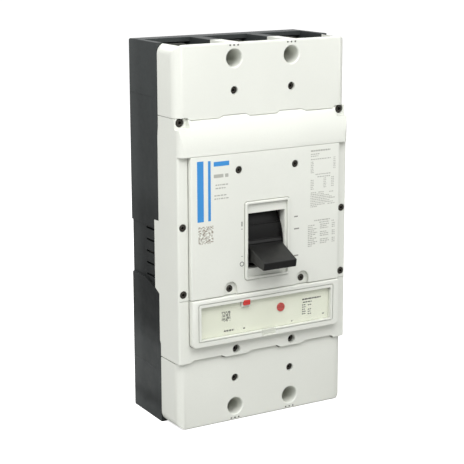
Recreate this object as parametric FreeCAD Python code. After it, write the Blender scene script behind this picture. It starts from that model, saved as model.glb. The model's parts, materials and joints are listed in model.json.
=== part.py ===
import FreeCAD, Part
import math
import os
from FreeCAD import Vector

# Three-pole molded case circuit breaker.
# Frame: X to the right seen from the front, front faces -Y, the rear
# mounting face lies on Y = 0, Z up with Z = 0 at mid height. Millimetres.
# Controls are drawn in the OFF position: handle down, contacts open.
# Line end is at +Z, load end at -Z. Outlines are lists of 2-D points,
# with a matching list of corner radii where the corners are rounded.

SIDES = (-1, 1)           # signs of a mirrored pair


def mirrored(x, *heights):
    """(x, z) places at both signs of x for each height."""
    return [(side * x, z) for z in heights for side in SIDES]


# ---------------------------------------------------------------- dimensions
HALF_W = 104.8            # half width of the case
HALF_H = 203.2            # half height of the case
REAR_HALF_W = 102.0       # half width of the base at the rear face
POLE = 69.85              # pole pitch
PX = (-POLE, 0.0, POLE)   # pole centres
Y_FACE = -108.0           # front plane of covers
Y_STRIP = -111.2          # front plane of the raised side strips and lower lip
Y_PANEL = -116.4          # front plane of the accessory cover
Y_TRIM = -118.0           # front plane of the bezel and trip unit frame
Y_SEAT = Y_FACE - 0.06    # rear plane of parts that lie on the main cover
WALL = 3.0                # cover wall
FLOOR_Y = -5.0            # inside face of the base floor
ROOT_Y = -4.5             # start of features on the floor, slightly sunk into it
PANEL_X = 92.0            # half width of the accessory cover and trip unit frame
PANEL_Z0, PANEL_Z1 = -60.15, 90.0
SEAM = 0.15               # half of the parting gap between case parts
SEAM_END_Y = -71.0        # parting line at both ends of the case
SEAM_MID_Y = -60.0        # parting line beside the handle

MOUNT_X, MOUNT_Z = POLE / 2, 187.0   # mounting holes, between the poles
MOUNTS = [(side * MOUNT_X, end * MOUNT_Z) for side in SIDES for end in SIDES]
MOUNT_R, MOUNT_TUBE_R = 4.5, 9.25
MOUNT_SEAT_Y = -14.0

TERMINAL_Z = 175.0        # terminal bolt height, both ends
TERMINAL_BAYS = ((-98, -42), (-28, 28), (42, 98))              # X ranges
POLE_CHANNELS = ((-98.5, -37.4), (-32.4, 32.4), (37.4, 98.5))  # X ranges

HND_Y, HND_Z = -40.0, -6.2      # handle pivot
HND_REST = 12.1                 # lever angle below horizontal at OFF
SHROUD_R = 69.0                 # curved face of the handle
STEM_ANGLE = 5.5                # half angle of the handle stem
SLOT_X, SLOT_Z0, SLOT_Z1 = 22.7, -34.8, 24.6
SPRING_BAR_REACH = 53.0         # handle pivot to the spring bar of the yoke

BAR_Y, BAR_Z, BAR_R = -30.0, -24.0, 11.0   # crossbar axis and radius
ARM_OPEN = 30.0                            # opening angle of the arms
ARM_PITCH, ARM_HALF = 4.4, 1.9             # arm spacing and half thickness
ARM_X = [x + k * ARM_PITCH for x in PX for k in (-1, 0, 1)]

# Mechanism pivots as (y, z), and pin radii
CRADLE_PIN = (-78.0, 0.0)       # upper link pivot on the cradle
TOGGLE_PIN = (-67.1, -16.8)     # toggle pin at OFF
LINK_PIN = (-44.1, -7.1)        # lower link pivot on the crossbar at OFF
CRADLE_PIVOT = (-62.0, 36.0)
LATCH_PIVOT = (-78.0, -52.0)
TIE_PINS = ((-17.0, 22.0), (-40.0, -50.0))
TRIP_BAR = (-84.0, -64.0)
PIVOT_R = 3.0                   # handle, cradle and toggle pins
LINK_R = 2.5                    # link, arm and tie pins
LATCH_R = 2.0                   # latch pin and spring bar
FIT = 0.05                      # radial clearance of a pin in its hole
FRAME_X0, FRAME_X1 = 16.5, 18.5   # mechanism side plate, inner and outer face

# Screw places as (x, z)
CORNER_SCREWS = mirrored(98.2, 125.0)
SIDE_SCREWS = mirrored(99.0, 17.2, -53.7)
LOWER_SCREWS = mirrored(35.1, -121.9)
PANEL_SCREWS_TOP = mirrored(34.85, 72.45)
PANEL_SCREWS_LOW = mirrored(45.0, -53.6)
TERM_SCREWS = mirrored(35.0, 154.1, -155.1)
BOARD_SCREWS = mirrored(70.0, -98.0)
CONDUCTOR_SCREWS = [(x, z) for x in PX for z in (92.0, -126.0)]
FOOT_SCREWS = [(side * 21.2, z) for side in SIDES for z in (37.3, -45.3)]

PARTS = {}


# ------------------------------------------------------------------- helpers
def box(x0, x1, y0, y1, z0, z1):
    """Box between two corners given in any order."""
    x0, x1 = sorted((x0, x1))
    y0, y1 = sorted((y0, y1))
    z0, z1 = sorted((z0, z1))
    return Part.makeBox(x1 - x0, y1 - y0, z1 - z0, Vector(x0, y0, z0))


def cyl_x(radius, x0, x1, y, z):
    x0, x1 = sorted((x0, x1))
    return Part.makeCylinder(radius, x1 - x0, Vector(x0, y, z), Vector(1, 0, 0))


def cyl_y(radius, x, z, y0, y1):
    y0, y1 = sorted((y0, y1))
    return Part.makeCylinder(radius, y1 - y0, Vector(x, y0, z), Vector(0, 1, 0))


def cyl_z(radius, x, y, z0, z1):
    z0, z1 = sorted((z0, z1))
    return Part.makeCylinder(radius, z1 - z0, Vector(x, y, z0), Vector(0, 0, 1))


def unit(a, b):
    length = math.hypot(a, b)
    return a / length, b / length


def rounded_wire(points, radii, place):
    """Closed wire through 2-D points, each corner rounded by its radius.
    place turns a 2-D point into a Vector."""
    count = len(points)
    if not isinstance(radii, (list, tuple)):
        radii = [radii] * count
    corners = []   # arc start, arc end and arc middle, the last None if sharp
    for i, (u, v) in enumerate(points):
        if radii[i] <= 0:
            corners.append(((u, v), (u, v), None))
            continue
        before, after = points[i - 1], points[(i + 1) % count]
        back = unit(before[0] - u, before[1] - v)
        ahead = unit(after[0] - u, after[1] - v)
        cosine = max(-1, min(1, back[0] * ahead[0] + back[1] * ahead[1]))
        half = math.acos(cosine) / 2
        trim = radii[i] / math.tan(half)
        depth = radii[i] / math.sin(half) - radii[i]
        inward = unit(back[0] + ahead[0], back[1] + ahead[1])
        corners.append(((u + back[0] * trim, v + back[1] * trim),
                        (u + ahead[0] * trim, v + ahead[1] * trim),
                        (u + inward[0] * depth, v + inward[1] * depth)))
    edges = []
    for i, (start, end, middle) in enumerate(corners):
        if middle is not None:
            edges.append(Part.Arc(place(*start), place(*middle), place(*end)).toShape())
        following = corners[(i + 1) % count][0]
        if math.hypot(following[0] - end[0], following[1] - end[1]) > 1e-6:
            edges.append(Part.makeLine(place(*end), place(*following)))
    return Part.Wire(edges)


def prism_xz(points, y0, y1, radii=0):
    """Prism of an XZ outline, along Y."""
    y0, y1 = sorted((y0, y1))
    wire = rounded_wire(points, radii, lambda x, z: Vector(x, y0, z))
    return Part.Face(wire).extrude(Vector(0, y1 - y0, 0))


def prism_yz(points, x0, x1, radii=0):
    """Prism of a YZ outline, along X."""
    x0, x1 = sorted((x0, x1))
    wire = rounded_wire(points, radii, lambda y, z: Vector(x0, y, z))
    return Part.Face(wire).extrude(Vector(x1 - x0, 0, 0))


def prism_xy(points, z0, z1, radii=0):
    """Prism of an XY outline, along Z."""
    z0, z1 = sorted((z0, z1))
    wire = rounded_wire(points, radii, lambda x, y: Vector(x, y, z0))
    return Part.Face(wire).extrude(Vector(0, 0, z1 - z0))


def rect(a0, a1, b0, b1):
    """Rectangle outline between two corners given in any order."""
    a0, a1 = sorted((a0, a1))
    b0, b1 = sorted((b0, b1))
    return [(a0, b0), (a1, b0), (a1, b1), (a0, b1)]


def fuse(items):
    joined = items[0]
    if len(items) > 1:
        joined = joined.fuse(items[1:])
    return joined.removeSplitter()


def main_solid(shape):
    """The solid of a shape, the largest if loose slivers come with it."""
    return max(shape.Solids, key=lambda solid: solid.Volume)


def add_part(name, shape):
    PARTS[name] = main_solid(shape)


def add_group(name, solids):
    """Register separate solids as one part."""
    PARTS[name] = Part.makeCompound(list(solids))


def turned(shape, y, z, degrees):
    """Copy of a shape turned about the X axis through (y, z)."""
    copy = shape.copy()
    copy.rotate(Vector(0, y, z), Vector(1, 0, 0), degrees)
    return copy


def opened(shape):
    """Turn a shape drawn with the contacts closed to the open position."""
    return turned(shape, BAR_Y, BAR_Z, ARM_OPEN)


def handle_point(radius, degrees):
    """(y, z) about the handle pivot, degrees above the horizontal at the front."""
    angle = math.radians(degrees)
    return HND_Y - radius * math.cos(angle), HND_Z + radius * math.sin(angle)


def arc_band(inner, outer, low, high, half_x):
    """Curved plate about the handle axis between two angles."""
    def point(radius, degrees):
        return Vector(-half_x, *handle_point(radius, degrees))
    mid = (low + high) / 2
    edges = [Part.Arc(point(outer, low), point(outer, mid), point(outer, high)).toShape(),
             Part.makeLine(point(outer, high), point(inner, high)),
             Part.Arc(point(inner, high), point(inner, mid), point(inner, low)).toShape(),
             Part.makeLine(point(inner, low), point(outer, low))]
    return Part.Face(Part.Wire(edges)).extrude(Vector(2 * half_x, 0, 0))


def link(start, end, start_r, end_r, x0, x1):
    """Flat link between two (y, z) points with round ends."""
    angle = math.atan2(end[1] - start[1], end[0] - start[0])
    across = (-math.sin(angle), math.cos(angle))
    outline = [(y + across[0] * r, z + across[1] * r)
               for (y, z), r in ((start, start_r), (end, end_r), (end, -end_r), (start, -start_r))]
    return fuse([prism_yz(outline, x0, x1), cyl_x(start_r, x0, x1, *start),
                 cyl_x(end_r, x0, x1, *end)])


def fillet(shape, radius, pick):
    """Round the picked edges, or leave the shape as it is."""
    edges = [edge for edge in shape.Edges if pick(edge)]
    if not edges:
        return shape
    # makeFillet can fail on short or tangent edges; the edges then stay sharp
    try:
        rounded = shape.makeFillet(radius, edges)
        if rounded.isValid() and rounded.Volume > 0:
            return rounded
    except Exception:
        pass
    return shape


def fillet_front(shape, radius, front_y):
    """Round the edges that lie in the front plane of a shape."""
    return fillet(shape, radius, lambda edge: abs(edge.BoundBox.YMax - front_y) < 1e-4)


def screw(x, z, y_head, head_r, shank_r, y_end, head_h=4.0, socket=True):
    """Cap screw along Y: rounded head towards the front, hexagon socket
    inside a shallow ring groove."""
    head = fillet_front(cyl_y(head_r, x, z, y_head, y_head + head_h),
                        min(0.9, head_r * 0.2), y_head)
    body = head.fuse(cyl_y(shank_r, x, z, y_head + head_h - 0.5, y_end))
    if socket:
        corner_r = head_r * 0.5
        angles = [math.radians(60 * i) for i in range(6)]
        hexagon = [(x + corner_r * math.cos(a), z + corner_r * math.sin(a)) for a in angles]
        body = body.cut(prism_xz(hexagon, y_head - 1, y_head + head_h * 0.6))
        groove = cyl_y(head_r * 0.80, x, z, y_head - 1, y_head + 0.35).cut(
            cyl_y(head_r * 0.66, x, z, y_head - 1, y_head + 0.35))
        body = body.cut(groove)
    return body.Solids[0]


def helix_spring(start, end, coil_r, wire_r, turns):
    """Round-wire coil between two Vectors, as one solid."""
    axis = end - start
    pitch = axis.Length / turns
    helix = Part.makeHelix(pitch, axis.Length, coil_r)
    tangent = Vector(0, 1, pitch / (2 * math.pi * coil_r))
    section = Part.Wire(Part.makeCircle(wire_r, Vector(coil_r, 0, 0), tangent))
    coil = Part.Wire(helix.Edges).makePipeShell([section], True, True)
    # the sweep may come back as a bare shell or inside out
    coil = coil.Solids[0] if coil.Solids else Part.Solid(coil)
    if coil.Volume < 0:
        coil.reverse()
    coil.Placement = FreeCAD.Placement(start, FreeCAD.Rotation(Vector(0, 0, 1), axis))
    return coil


def wall_boss(x, z, centre_x, outer_x, radius, y0, y1):
    """Screw boss joined to the nearer side wall."""
    side = 1 if x > 0 else -1
    return [cyl_y(radius, side * centre_x, z, y0, y1),
            box(side * centre_x, side * outer_x, y0, y1, z - radius, z + radius)]


# ---------------------------------------------------- parting line of the case
# (z, y) stations from the line end to the load end
SEAM_LINE = [(203.2, SEAM_END_Y), (118.0, SEAM_END_Y), (108.0, -69.6), (18.0, -69.6),
             (17.5, SEAM_MID_Y), (-56.0, SEAM_MID_Y), (-61.0, -69.0), (-112.0, -69.0),
             (-115.6, SEAM_END_Y), (-203.2, SEAM_END_Y)]


def seam_prism(offset, far_y):
    """Everything between the shifted parting line and the plane far_y."""
    line = [(y + offset, z) for z, y in SEAM_LINE]
    line = [(line[0][0], 230.0)] + line + [(line[-1][0], -230.0)]
    return prism_yz(line + [(far_y, -230.0), (far_y, 230.0)], -150, 150)


SEAM_FRONT = seam_prism(-SEAM, -200.0)
SEAM_REAR = seam_prism(SEAM, 50.0)

# (x, z) line between main cover and line terminal cover, left to right;
# the load end is its mirror image.
JOG_LEFT = [(-HALF_W, 129.0), (-91.0, 129.0), (-87.4, 126.4), (-53.0, 126.4),
            (-48.1, 128.8), (-20.35, 128.8), (-16.65, 126.4)]
JOG = JOG_LEFT + [(-x, z) for x, z in reversed(JOG_LEFT)]


# ---------------------------------------------------------------------- base
def side_taper(side, x_edge, inset, z0, z1):
    """Prism from x_edge to a plane parallel to the tapered side wall,
    inset from its outer face."""
    front_x, rear_x = side * (HALF_W - inset), side * (REAR_HALF_W - inset)
    return prism_xy([(side * x_edge, -80), (front_x, -80), (front_x, -70),
                     (rear_x, 6), (side * x_edge, 6)], z0, z1)


def base_voids():
    """Pole channels, terminal bays, conductor passages and open ends."""
    holes = []
    for channel, bay in zip(POLE_CHANNELS, TERMINAL_BAYS):
        holes.append(box(*channel, -90, FLOOR_Y, -136, 136))
        for end in SIDES:
            holes.append(box(*bay, -90, FLOOR_Y, end * 140, end * 198.5))
    for x in PX:
        for end in SIDES:
            holes.append(box(x - 13, x + 13, -14.0, FLOOR_Y, end * 135, end * 141))
        holes.append(box(x - 28, x + 28, -90, -29.0, 190, 205))
        holes.append(box(x - 28, x + 28, -90, -29.0, -190, -207))
    return holes


def base_additions():
    """Pedestals, posts, bosses and feet on the base floor and walls."""
    adds = []
    for x in PX:
        for end in SIDES:
            adds.append(box(x - 16, x + 16, -29.8, ROOT_Y,
                            end * (TERMINAL_Z - 15), end * (TERMINAL_Z + 15)))
    for x, z in MOUNTS:
        adds.append(cyl_y(12.0, x, z, SEAM_END_Y + SEAM, ROOT_Y))
    for screws, seam_y in ((CORNER_SCREWS, SEAM_END_Y), (SIDE_SCREWS, SEAM_MID_Y)):
        for x, z in screws:
            adds += wall_boss(x, z, 96.5, 101.5, 6.0, seam_y + SEAM, -30)
    for x, z in LOWER_SCREWS:
        adds.append(cyl_y(6.5, x, z, -70.8, -30))
    # feet under the mechanism side plates
    for side in SIDES:
        adds.append(box(side * 14.5, side * 24.5, -12.0, ROOT_Y, 30, 44))
        adds.append(box(side * 14.5, side * 24.5, -12.0, ROOT_Y, -50, -40))
    return adds


def base_cuts():
    """Screw and nut holes, partition openings and side wall recesses."""
    cuts = []
    for x, z in MOUNTS:
        cuts.append(cyl_y(MOUNT_R, x, z, -30, 1))
        cuts.append(cyl_y(MOUNT_TUBE_R, x, z, -80, MOUNT_SEAT_Y))
    for screws, radius, depth_y in ((CORNER_SCREWS + SIDE_SCREWS, 2.1, -34),
                                    (LOWER_SCREWS, 2.6, -34), (TERM_SCREWS, 2.1, -44)):
        cuts += [cyl_y(radius, x, z, -75, depth_y) for x, z in screws]
    # stepped nut pockets in the pedestals
    for x in PX:
        for end in SIDES:
            for half, rear_y in ((9.3, -21.5), (6.3, -8)):
                cuts.append(box(x - half, x + half, -31, rear_y,
                                end * (TERMINAL_Z - half), end * (TERMINAL_Z + half)))
    # crossbar bearings in the pole partitions, open to the front
    bearing_r = BAR_R + FIT
    for side in SIDES:
        cuts.append(cyl_x(bearing_r, side * 35 - 6, side * 35 + 6, BAR_Y, BAR_Z))
        cuts.append(box(side * 29, side * 41, -90, BAR_Y, BAR_Z - bearing_r, BAR_Z + bearing_r))
    for side in SIDES:
        # trip bar and trip unit gap in the partitions
        cuts.append(box(side * 29, side * 41, -90, -44.5, -58, -124))
        # side recess with louvres
        recess = prism_yz([(6, 8.0), (-61.0, 8.0), (-61.0, -58.5), (-55.0, -57.0),
                           (-34.0, -51.0), (6, -51.0)], side * 98, side * 112)
        cuts.append(recess.cut(side_taper(side, 90, 2.8, -60, 20)))
        for i in range(5):
            z = 4.5 - 12.8 * i
            cuts.append(box(side * 97.0, side * 112, -62, -34.5, z - 1.1, z + 1.1))
        # slightly deeper step along the rear half of the recess
        step = prism_yz([(6, 8.0), (-31.0, 8.0), (-31.0, -51.0), (6, -51.0)],
                        side * 98, side * 112)
        cuts.append(step.cut(side_taper(side, 90, 3.3, -60, 20)))
        # finger ledges near both ends of the side walls
        for z in (182.2, -183.6):
            cuts.append(box(side * (HALF_W + 1), side * (HALF_W - 0.1), -60, -6, z, z + 0.8))
    return cuts


def make_base():
    block = prism_xy([(-HALF_W, -90), (-HALF_W, -70), (-REAR_HALF_W, 0), (REAR_HALF_W, 0),
                      (HALF_W, -70), (HALF_W, -90)], -HALF_H, HALF_H, [0, 0, 5, 5, 0, 0])
    body = block.common(SEAM_REAR)
    # rounded rear edges of both ends
    body = body.common(prism_yz([(-95, -HALF_H), (0, -HALF_H), (0, HALF_H), (-95, HALF_H)],
                                -110, 110, [0, 3.5, 9.0, 0]))
    # middle a little narrower than the ends, full width in a band at the seam
    waist_z = 147.0
    band = box(-110, 110, -80, -62, -waist_z, waist_z)
    body = body.cut([side_taper(side, 110, 0.7, -waist_z, waist_z).cut([band])
                     for side in SIDES])
    body = body.cut(base_voids())
    body = fuse([body] + base_additions())
    body = body.common(block).common(SEAM_REAR)
    body = main_solid(body.cut(base_cuts()))
    # blind holes for the conductor and mechanism screws
    body = main_solid(body.cut([cyl_y(2.6, x, z, -6, -2.6) for x, z in CONDUCTOR_SCREWS]))
    return body.cut([cyl_y(1.7, x, z, -14, -5.5) for x, z in FOOT_SCREWS])


add_part("base", make_base())


# ----------------------------------------------------------- terminal covers
def make_terminal_cover(end, corner_r, gap):
    """Cover at the line end (end = 1) or the load end (end = -1)."""
    outline = [(x, z + gap) for x, z in JOG] + [(HALF_W, HALF_H), (-HALF_W, HALF_H)]
    outline = [(x, end * z) for x, z in outline]
    body = prism_xz(outline, -60, Y_FACE - 1, [0] * len(JOG) + [corner_r, corner_r])
    plan = prism_xy(rect(-HALF_W, HALF_W, Y_FACE, -50), -210, 210, [10, 10, 0, 0])
    body = body.common(plan).common(SEAM_FRONT)
    # soften the end edge of the front wall
    body = body.common(prism_yz([(-50, end * 120), (Y_FACE, end * 120),
                                 (Y_FACE, end * HALF_H), (-50, end * HALF_H)],
                                -110, 110, [0, 0, 2.2, 0]))
    body = body.cut([prism_xz(rect(x0, x1, end * 132.5, end * 206), -60, Y_FACE + WALL, 2.0)
                     for x0, x1 in TERMINAL_BAYS])
    # access tubes of the mounting screws
    tube_places = mirrored(MOUNT_X, end * MOUNT_Z)
    body = fuse([body] + [cyl_y(11.0, x, z, SEAM_END_Y - SEAM, Y_FACE + 1)
                          for x, z in tube_places])
    cuts = []
    for x, z in tube_places:
        cuts.append(cyl_y(MOUNT_TUBE_R, x, z, -60, Y_FACE - 2))
        # small lead-in at the mouth of each access tube
        cuts.append(Part.makeCone(MOUNT_TUBE_R + 0.9, MOUNT_TUBE_R - 0.1, 1.0,
                                  Vector(x, Y_FACE - 0.05, z), Vector(0, 1, 0)))
    # three small marks by the end edge on each side
    for side in SIDES:
        for k in (-1, 0, 1):
            x = side * 35 + k * 4.7
            cuts.append(box(x - 1.0, x + 1.0, Y_FACE - 1, Y_FACE + 0.7,
                            end * 199.4, end * 201.2))
    for x, z in TERM_SCREWS:
        if z * end > 0:
            cuts.append(cyl_y(4.25, x, z, Y_FACE + 6.7, Y_FACE - 1))
            cuts.append(cyl_y(2.2, x, z, -60, Y_FACE))
    return body.cut(cuts)


add_part("line_terminal_cover", make_terminal_cover(1, corner_r=11.0, gap=0.5))
add_part("load_terminal_cover", make_terminal_cover(-1, corner_r=12.0, gap=1.3))


# ---------------------------------------------------------------- main cover
RECESS_X = PANEL_X + 0.9     # half width of the recess for the front parts
RECESS_Z0, RECESS_Z1 = -112.35, 90.35


def cover_lip():
    """Raised side strips and lower lip that frame the accessory cover and
    the trip unit."""
    lip = prism_xy(rect(-HALF_W, HALF_W, Y_STRIP, -100), -140, 92.0, [2.5, 2.5, 0, 0])
    recess = [(RECESS_X, RECESS_Z0), (RECESS_X, RECESS_Z1),
              (-RECESS_X, RECESS_Z1), (-RECESS_X, RECESS_Z0)]
    return lip, prism_xz(recess, Y_FACE, -125, [5.5, 0, 0, 5.5])


def cover_dome():
    """Domed band above the accessory cover."""
    steps = 14
    curve = []
    for i in range(steps + 1):
        t = i / steps
        z = RECESS_Z1 + (126.0 - RECESS_Z1) * t
        curve.append(Vector(-HALF_W, Y_PANEL + 6.4 * (t ** 2.2), z))
    spline = Part.BSplineCurve()
    spline.interpolate(curve)
    path = [curve[-1]]
    path += [Vector(-HALF_W, y, z) for y, z in ((-109.2, 127.2), (-107.8, 128.8),
                                                (-100, 128.8), (-100, RECESS_Z1))]
    path.append(curve[0])
    lines = [Part.makeLine(start, end) for start, end in zip(path, path[1:])]
    dome = Part.Face(Part.Wire([spline.toShape()] + lines)).extrude(Vector(2 * HALF_W, 0, 0))
    return dome.common(prism_xy(rect(-HALF_W, HALF_W, -117, -90), 80, 140, [9, 9, 0, 0]))


def make_main_cover():
    outline = JOG + [(x, -z) for x, z in reversed(JOG)]
    slab = prism_xz(outline, -55, Y_FACE - 12)
    plate = slab.common(prism_xy(rect(-HALF_W, HALF_W, Y_FACE, -50), -140, 140,
                                 [2.5, 2.5, 0, 0]))
    lip, recess = cover_lip()
    lip = lip.common(slab).cut([recess])
    dome = cover_dome().common(slab)
    body = fuse([plate, lip, dome]).common(SEAM_FRONT)
    cuts = []
    for side in SIDES:
        # open pockets of the corner screws
        cuts.append(prism_xz([(side * 90.0, 118.0), (side * 110, 118.0),
                              (side * 110, 131), (side * 90.0, 131)],
                             Y_FACE - 12, -105.5, [3.0, 0, 0, 0]))
        # a thin step line across each lower side strip
        cuts.append(box(side * 90.3, side * 106, Y_STRIP - 1, Y_STRIP + 0.8, -61.25, -60.65))
    cuts += [box(-98, 98, -105, -50, -124, 60),
             box(-98, 98, -105, -50, 60, 122),
             box(-86, 86, -106.6, -104, 93.5, 121)]
    body = body.cut(cuts)

    adds = []
    for side in SIDES:
        # accessory pockets, walls and floor
        adds.append(box(side * 28, side * 86, -105.5, -78, -46.5, 64.5))
        # partitions over the arc chambers
        adds.append(box(side * 32.4, side * 37.4, -105.5, -70.0, 68, 122.5))
    adds += [cyl_y(5.0, x, z, -105.5, -88) for x, z in PANEL_SCREWS_TOP]
    adds += [cyl_y(5.0, x, z, -105.5, -92) for x, z in PANEL_SCREWS_LOW]
    for x, z in CORNER_SCREWS + SIDE_SCREWS:
        adds += wall_boss(x, z, 97.0, 100.5, 6.2, -105.2, -56)
    adds += [cyl_y(7.0, x, z, -105.5, -60) for x, z in LOWER_SCREWS]
    body = fuse([body] + adds).common(SEAM_FRONT).common(slab)

    cuts = []
    for side in SIDES:
        cuts.append(prism_xz(rect(side * 30, side * 84, -44, 62), -80.5, Y_FACE - 1, 3.0))
        cuts.append(box(side * 31.9, side * 37.9, -78, -50, 50, 68.5))
    cuts += [cyl_y(1.7, x, z, -89, Y_FACE - 9) for x, z in PANEL_SCREWS_TOP]
    cuts += [cyl_y(1.7, x, z, -93, Y_FACE - 1) for x, z in PANEL_SCREWS_LOW]
    # handle slot and trip unit opening
    cuts.append(prism_xz(rect(-27.0, 27.0, -53.0, 43.0), -100, Y_FACE - 1, 2.0))
    cuts.append(prism_xz(rect(-86.3, 86.3, -108.6, -63.4), -100, Y_FACE - 1, 1.5))
    # screws, counterbore radius, its seat and mouth, clearance hole radius
    for screws, head_r, seat_y, mouth_y, hole_r in (
            (CORNER_SCREWS, 4.8, -101.0, Y_FACE - 3, 2.2),
            (SIDE_SCREWS, 4.15, -106.8, Y_FACE - 6, 2.2),
            (LOWER_SCREWS, 4.6, -102.6, Y_FACE - 6, 2.7)):
        for x, z in screws:
            cuts.append(cyl_y(head_r, x, z, seat_y, mouth_y))
            cuts.append(cyl_y(hole_r, x, z, -50, Y_FACE))
    return body.cut(cuts)


add_part("main_cover", make_main_cover())


# ------------------------------------------- accessory cover and handle bezel
FLANGE_GROW = 1.1            # bezel flange overlap round the bezel body


def bezel_rect(grow):
    """Outline of the bezel body, grown on all sides."""
    return rect(-26.5 - grow, 26.5 + grow, -45.1 - grow, 36.3 + grow)


def make_accessory_cover():
    body = prism_xy([(-PANEL_X, Y_SEAT), (-PANEL_X, Y_PANEL), (PANEL_X, Y_PANEL),
                     (PANEL_X, Y_SEAT)], PANEL_Z0, PANEL_Z1, [0, 1.3, 1.3, 0])
    # small radii along the lower and upper front edges
    body = body.common(prism_yz([(-100, PANEL_Z0), (Y_PANEL, PANEL_Z0), (Y_PANEL, PANEL_Z1),
                                 (-100, PANEL_Z1)], -110, 110, [0, 0.9, 0.5, 0]))
    body = body.cut([box(-89, 89, -113.4, -100, PANEL_Z0 + 2.6, PANEL_Z1 - 2.6)])
    adds = [cyl_y(5.6, x, z, -114, Y_SEAT) for x, z in PANEL_SCREWS_TOP]
    adds += [cyl_y(10.6, x, z, -114, Y_SEAT) for x, z in PANEL_SCREWS_LOW]
    body = fuse([body] + adds)
    body = body.common(box(-95, 95, -120, Y_SEAT, PANEL_Z0, PANEL_Z1))
    cuts = [prism_xz(bezel_rect(0.1), -100, -120, 2.4),
            # rebate that takes the bezel flange with a small gap all round
            prism_xz(bezel_rect(FLANGE_GROW + 0.75), Y_PANEL + 1.2, -120, 3.7)]
    for x, z in PANEL_SCREWS_TOP:
        cuts.append(cyl_y(4.0, x, z, -112.2, -120))
        cuts.append(cyl_y(1.9, x, z, -100, -120))
    for x, z in PANEL_SCREWS_LOW:
        # notch open to the lower edge with a screw seat
        cuts.append(fuse([cyl_y(8.0, x, z, -113.4, -120),
                          box(x - 8, x + 8, -113.4, -120, z, -70)]))
        cuts.append(cyl_y(3.9, x, z, -110.6, -120))
        cuts.append(cyl_y(1.9, x, z, -100, -120))
    return body.cut(cuts)


def make_bezel():
    flange = prism_xz(bezel_rect(FLANGE_GROW), Y_PANEL + 1.15, Y_TRIM, 3.0)
    flange = fillet_front(flange, 0.6, Y_TRIM)
    bezel = fuse([flange, prism_xz(bezel_rect(0), -117.0, -108.4, 2.3)])
    inside = rect(-25.1, 25.1, -43.7, 35.1)
    bezel = bezel.cut([prism_xz(inside, -115.0, -120, 1.6),
                       prism_xz(inside, -113.0, -100, 1.0)])
    cheek = prism_xz(rect(-24.4, 24.4, -36.5, 26.3), -115.0, -105.8, 0.8)
    bezel = fuse([bezel, cheek])
    return bezel.cut([prism_xz(rect(-SLOT_X, SLOT_X, SLOT_Z0, SLOT_Z1), -100, -120, 0.5)])


add_part("accessory_cover", make_accessory_cover())
add_part("handle_bezel", make_bezel())


# -------------------------------------------------------- handle and shutter
HANDLE_X = 22.3              # half width of the curved face and the shutter
LEVER_X = 20.9               # half width of the lever at its root
GROOVE_X = 21.3              # half length of the groove in the curved face

# Outline of the raised rims: radius and angle about the handle pivot
RIM_OUTLINE = [(69.2, 14.0), (70.3, 10.5), (71.3, 7.0), (72.1, 3.0), (72.8, -1.0),
               (73.2, -6.0), (73.2, -14.0), (73.2, -21.5), (68.0, -21.5), (68.0, -14.0),
               (68.0, -6.0), (68.0, 3.0), (68.0, 14.0)]


def handle_band(inner, outer, low, high, half_x):
    """Curved plate with its angles measured from the lever at OFF."""
    return arc_band(inner, outer, -HND_REST + low, -HND_REST + high, half_x)


def make_lever():
    """Lever, wider and thicker at the root, hollowed to sit on the shroud."""
    lever = prism_yz([(-104.5, -8.2), (-112.5, -10.6), (-143.4, -24.0), (-141.6, -32.3),
                      (-130.0, -30.3), (-119.0, -27.6), (-104.5, -30.5)],
                     -21.0, 21.0, [0, 4.0, 1.1, 1.1, 9.0, 6.0, 0])
    lever = lever.common(prism_xy([(-LEVER_X, -100), (-LEVER_X, -112), (-20.2, -146),
                                   (20.2, -146), (LEVER_X, -112), (LEVER_X, -100)], -60, 20))
    # long side edges of the grip
    lever = fillet(lever, 0.8, lambda edge: edge.BoundBox.XLength < 1.0
                   and edge.BoundBox.YMin < -113 and edge.BoundBox.YLength > 8)
    return lever.cut([cyl_x(SHROUD_R - 0.6, -30, 30, HND_Y, HND_Z)])


def make_handle():
    shroud = handle_band(67.2, SHROUD_R, -26.6, 26.6, HANDLE_X)
    # raised root pad between lever and shroud
    root = handle_band(SHROUD_R - 0.5, 71.2, -9.2, 9.2, LEVER_X)
    stem = handle_band(60.6, 68.0, -STEM_ANGLE, STEM_ANGLE, 8.0)
    # raised ridge along the root of the lever
    ridge = prism_yz([(-107.0, -5.2), (-111.4, -6.6), (-113.0, -9.2), (-112.0, -12.5),
                      (-107.0, -12.5)], -LEVER_X, LEVER_X, [0, 0.6, 1.0, 0, 0])
    # narrow raised rims at both ends of the curved face
    outline = [handle_point(radius, degrees) for radius, degrees in RIM_OUTLINE]
    rims = [prism_yz(outline, side * 21.35, side * HANDLE_X) for side in SIDES]
    handle = fuse([shroud, make_lever(), root, stem, ridge] + rims)
    # fine groove below the upper edge of the curved face
    return handle.cut([handle_band(68.0, 70.5, 24.9, 25.7, GROOVE_X)])


def make_shutter():
    """Curved strip behind the shroud, with a window for the stem."""
    strip = arc_band(64.6, 66.7, -39.5, 28.5, HANDLE_X)
    return strip.cut([handle_band(60, 70, -STEM_ANGLE - 1.0, STEM_ANGLE + 13.5, 9.2)])


add_part("handle", make_handle())
add_part("handle_shutter", make_shutter())


# ---------------------------------------------------- crossbar and moving arms
# All drawn in the closed position, then turned open.
# (y, z) outline of an arm: heel below the pivot, tip above it
ARM_OUTLINE = [(-38.5, -23.0), (-36.0, -33.5), (-31.0, -42.0), (-24.5, -42.0),
               (-22.5, -34.0), (-22.5, -22.0), (-24.0, 20.0), (-21.0, 36.0),
               (-21.0, 50.5), (-27.0, 51.5), (-33.0, 38.0), (-35.5, 10.0)]
ARM_RADII = [1, 2, 2, 2, 2, 3, 4, 2, 1, 2, 4, 6]


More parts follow.
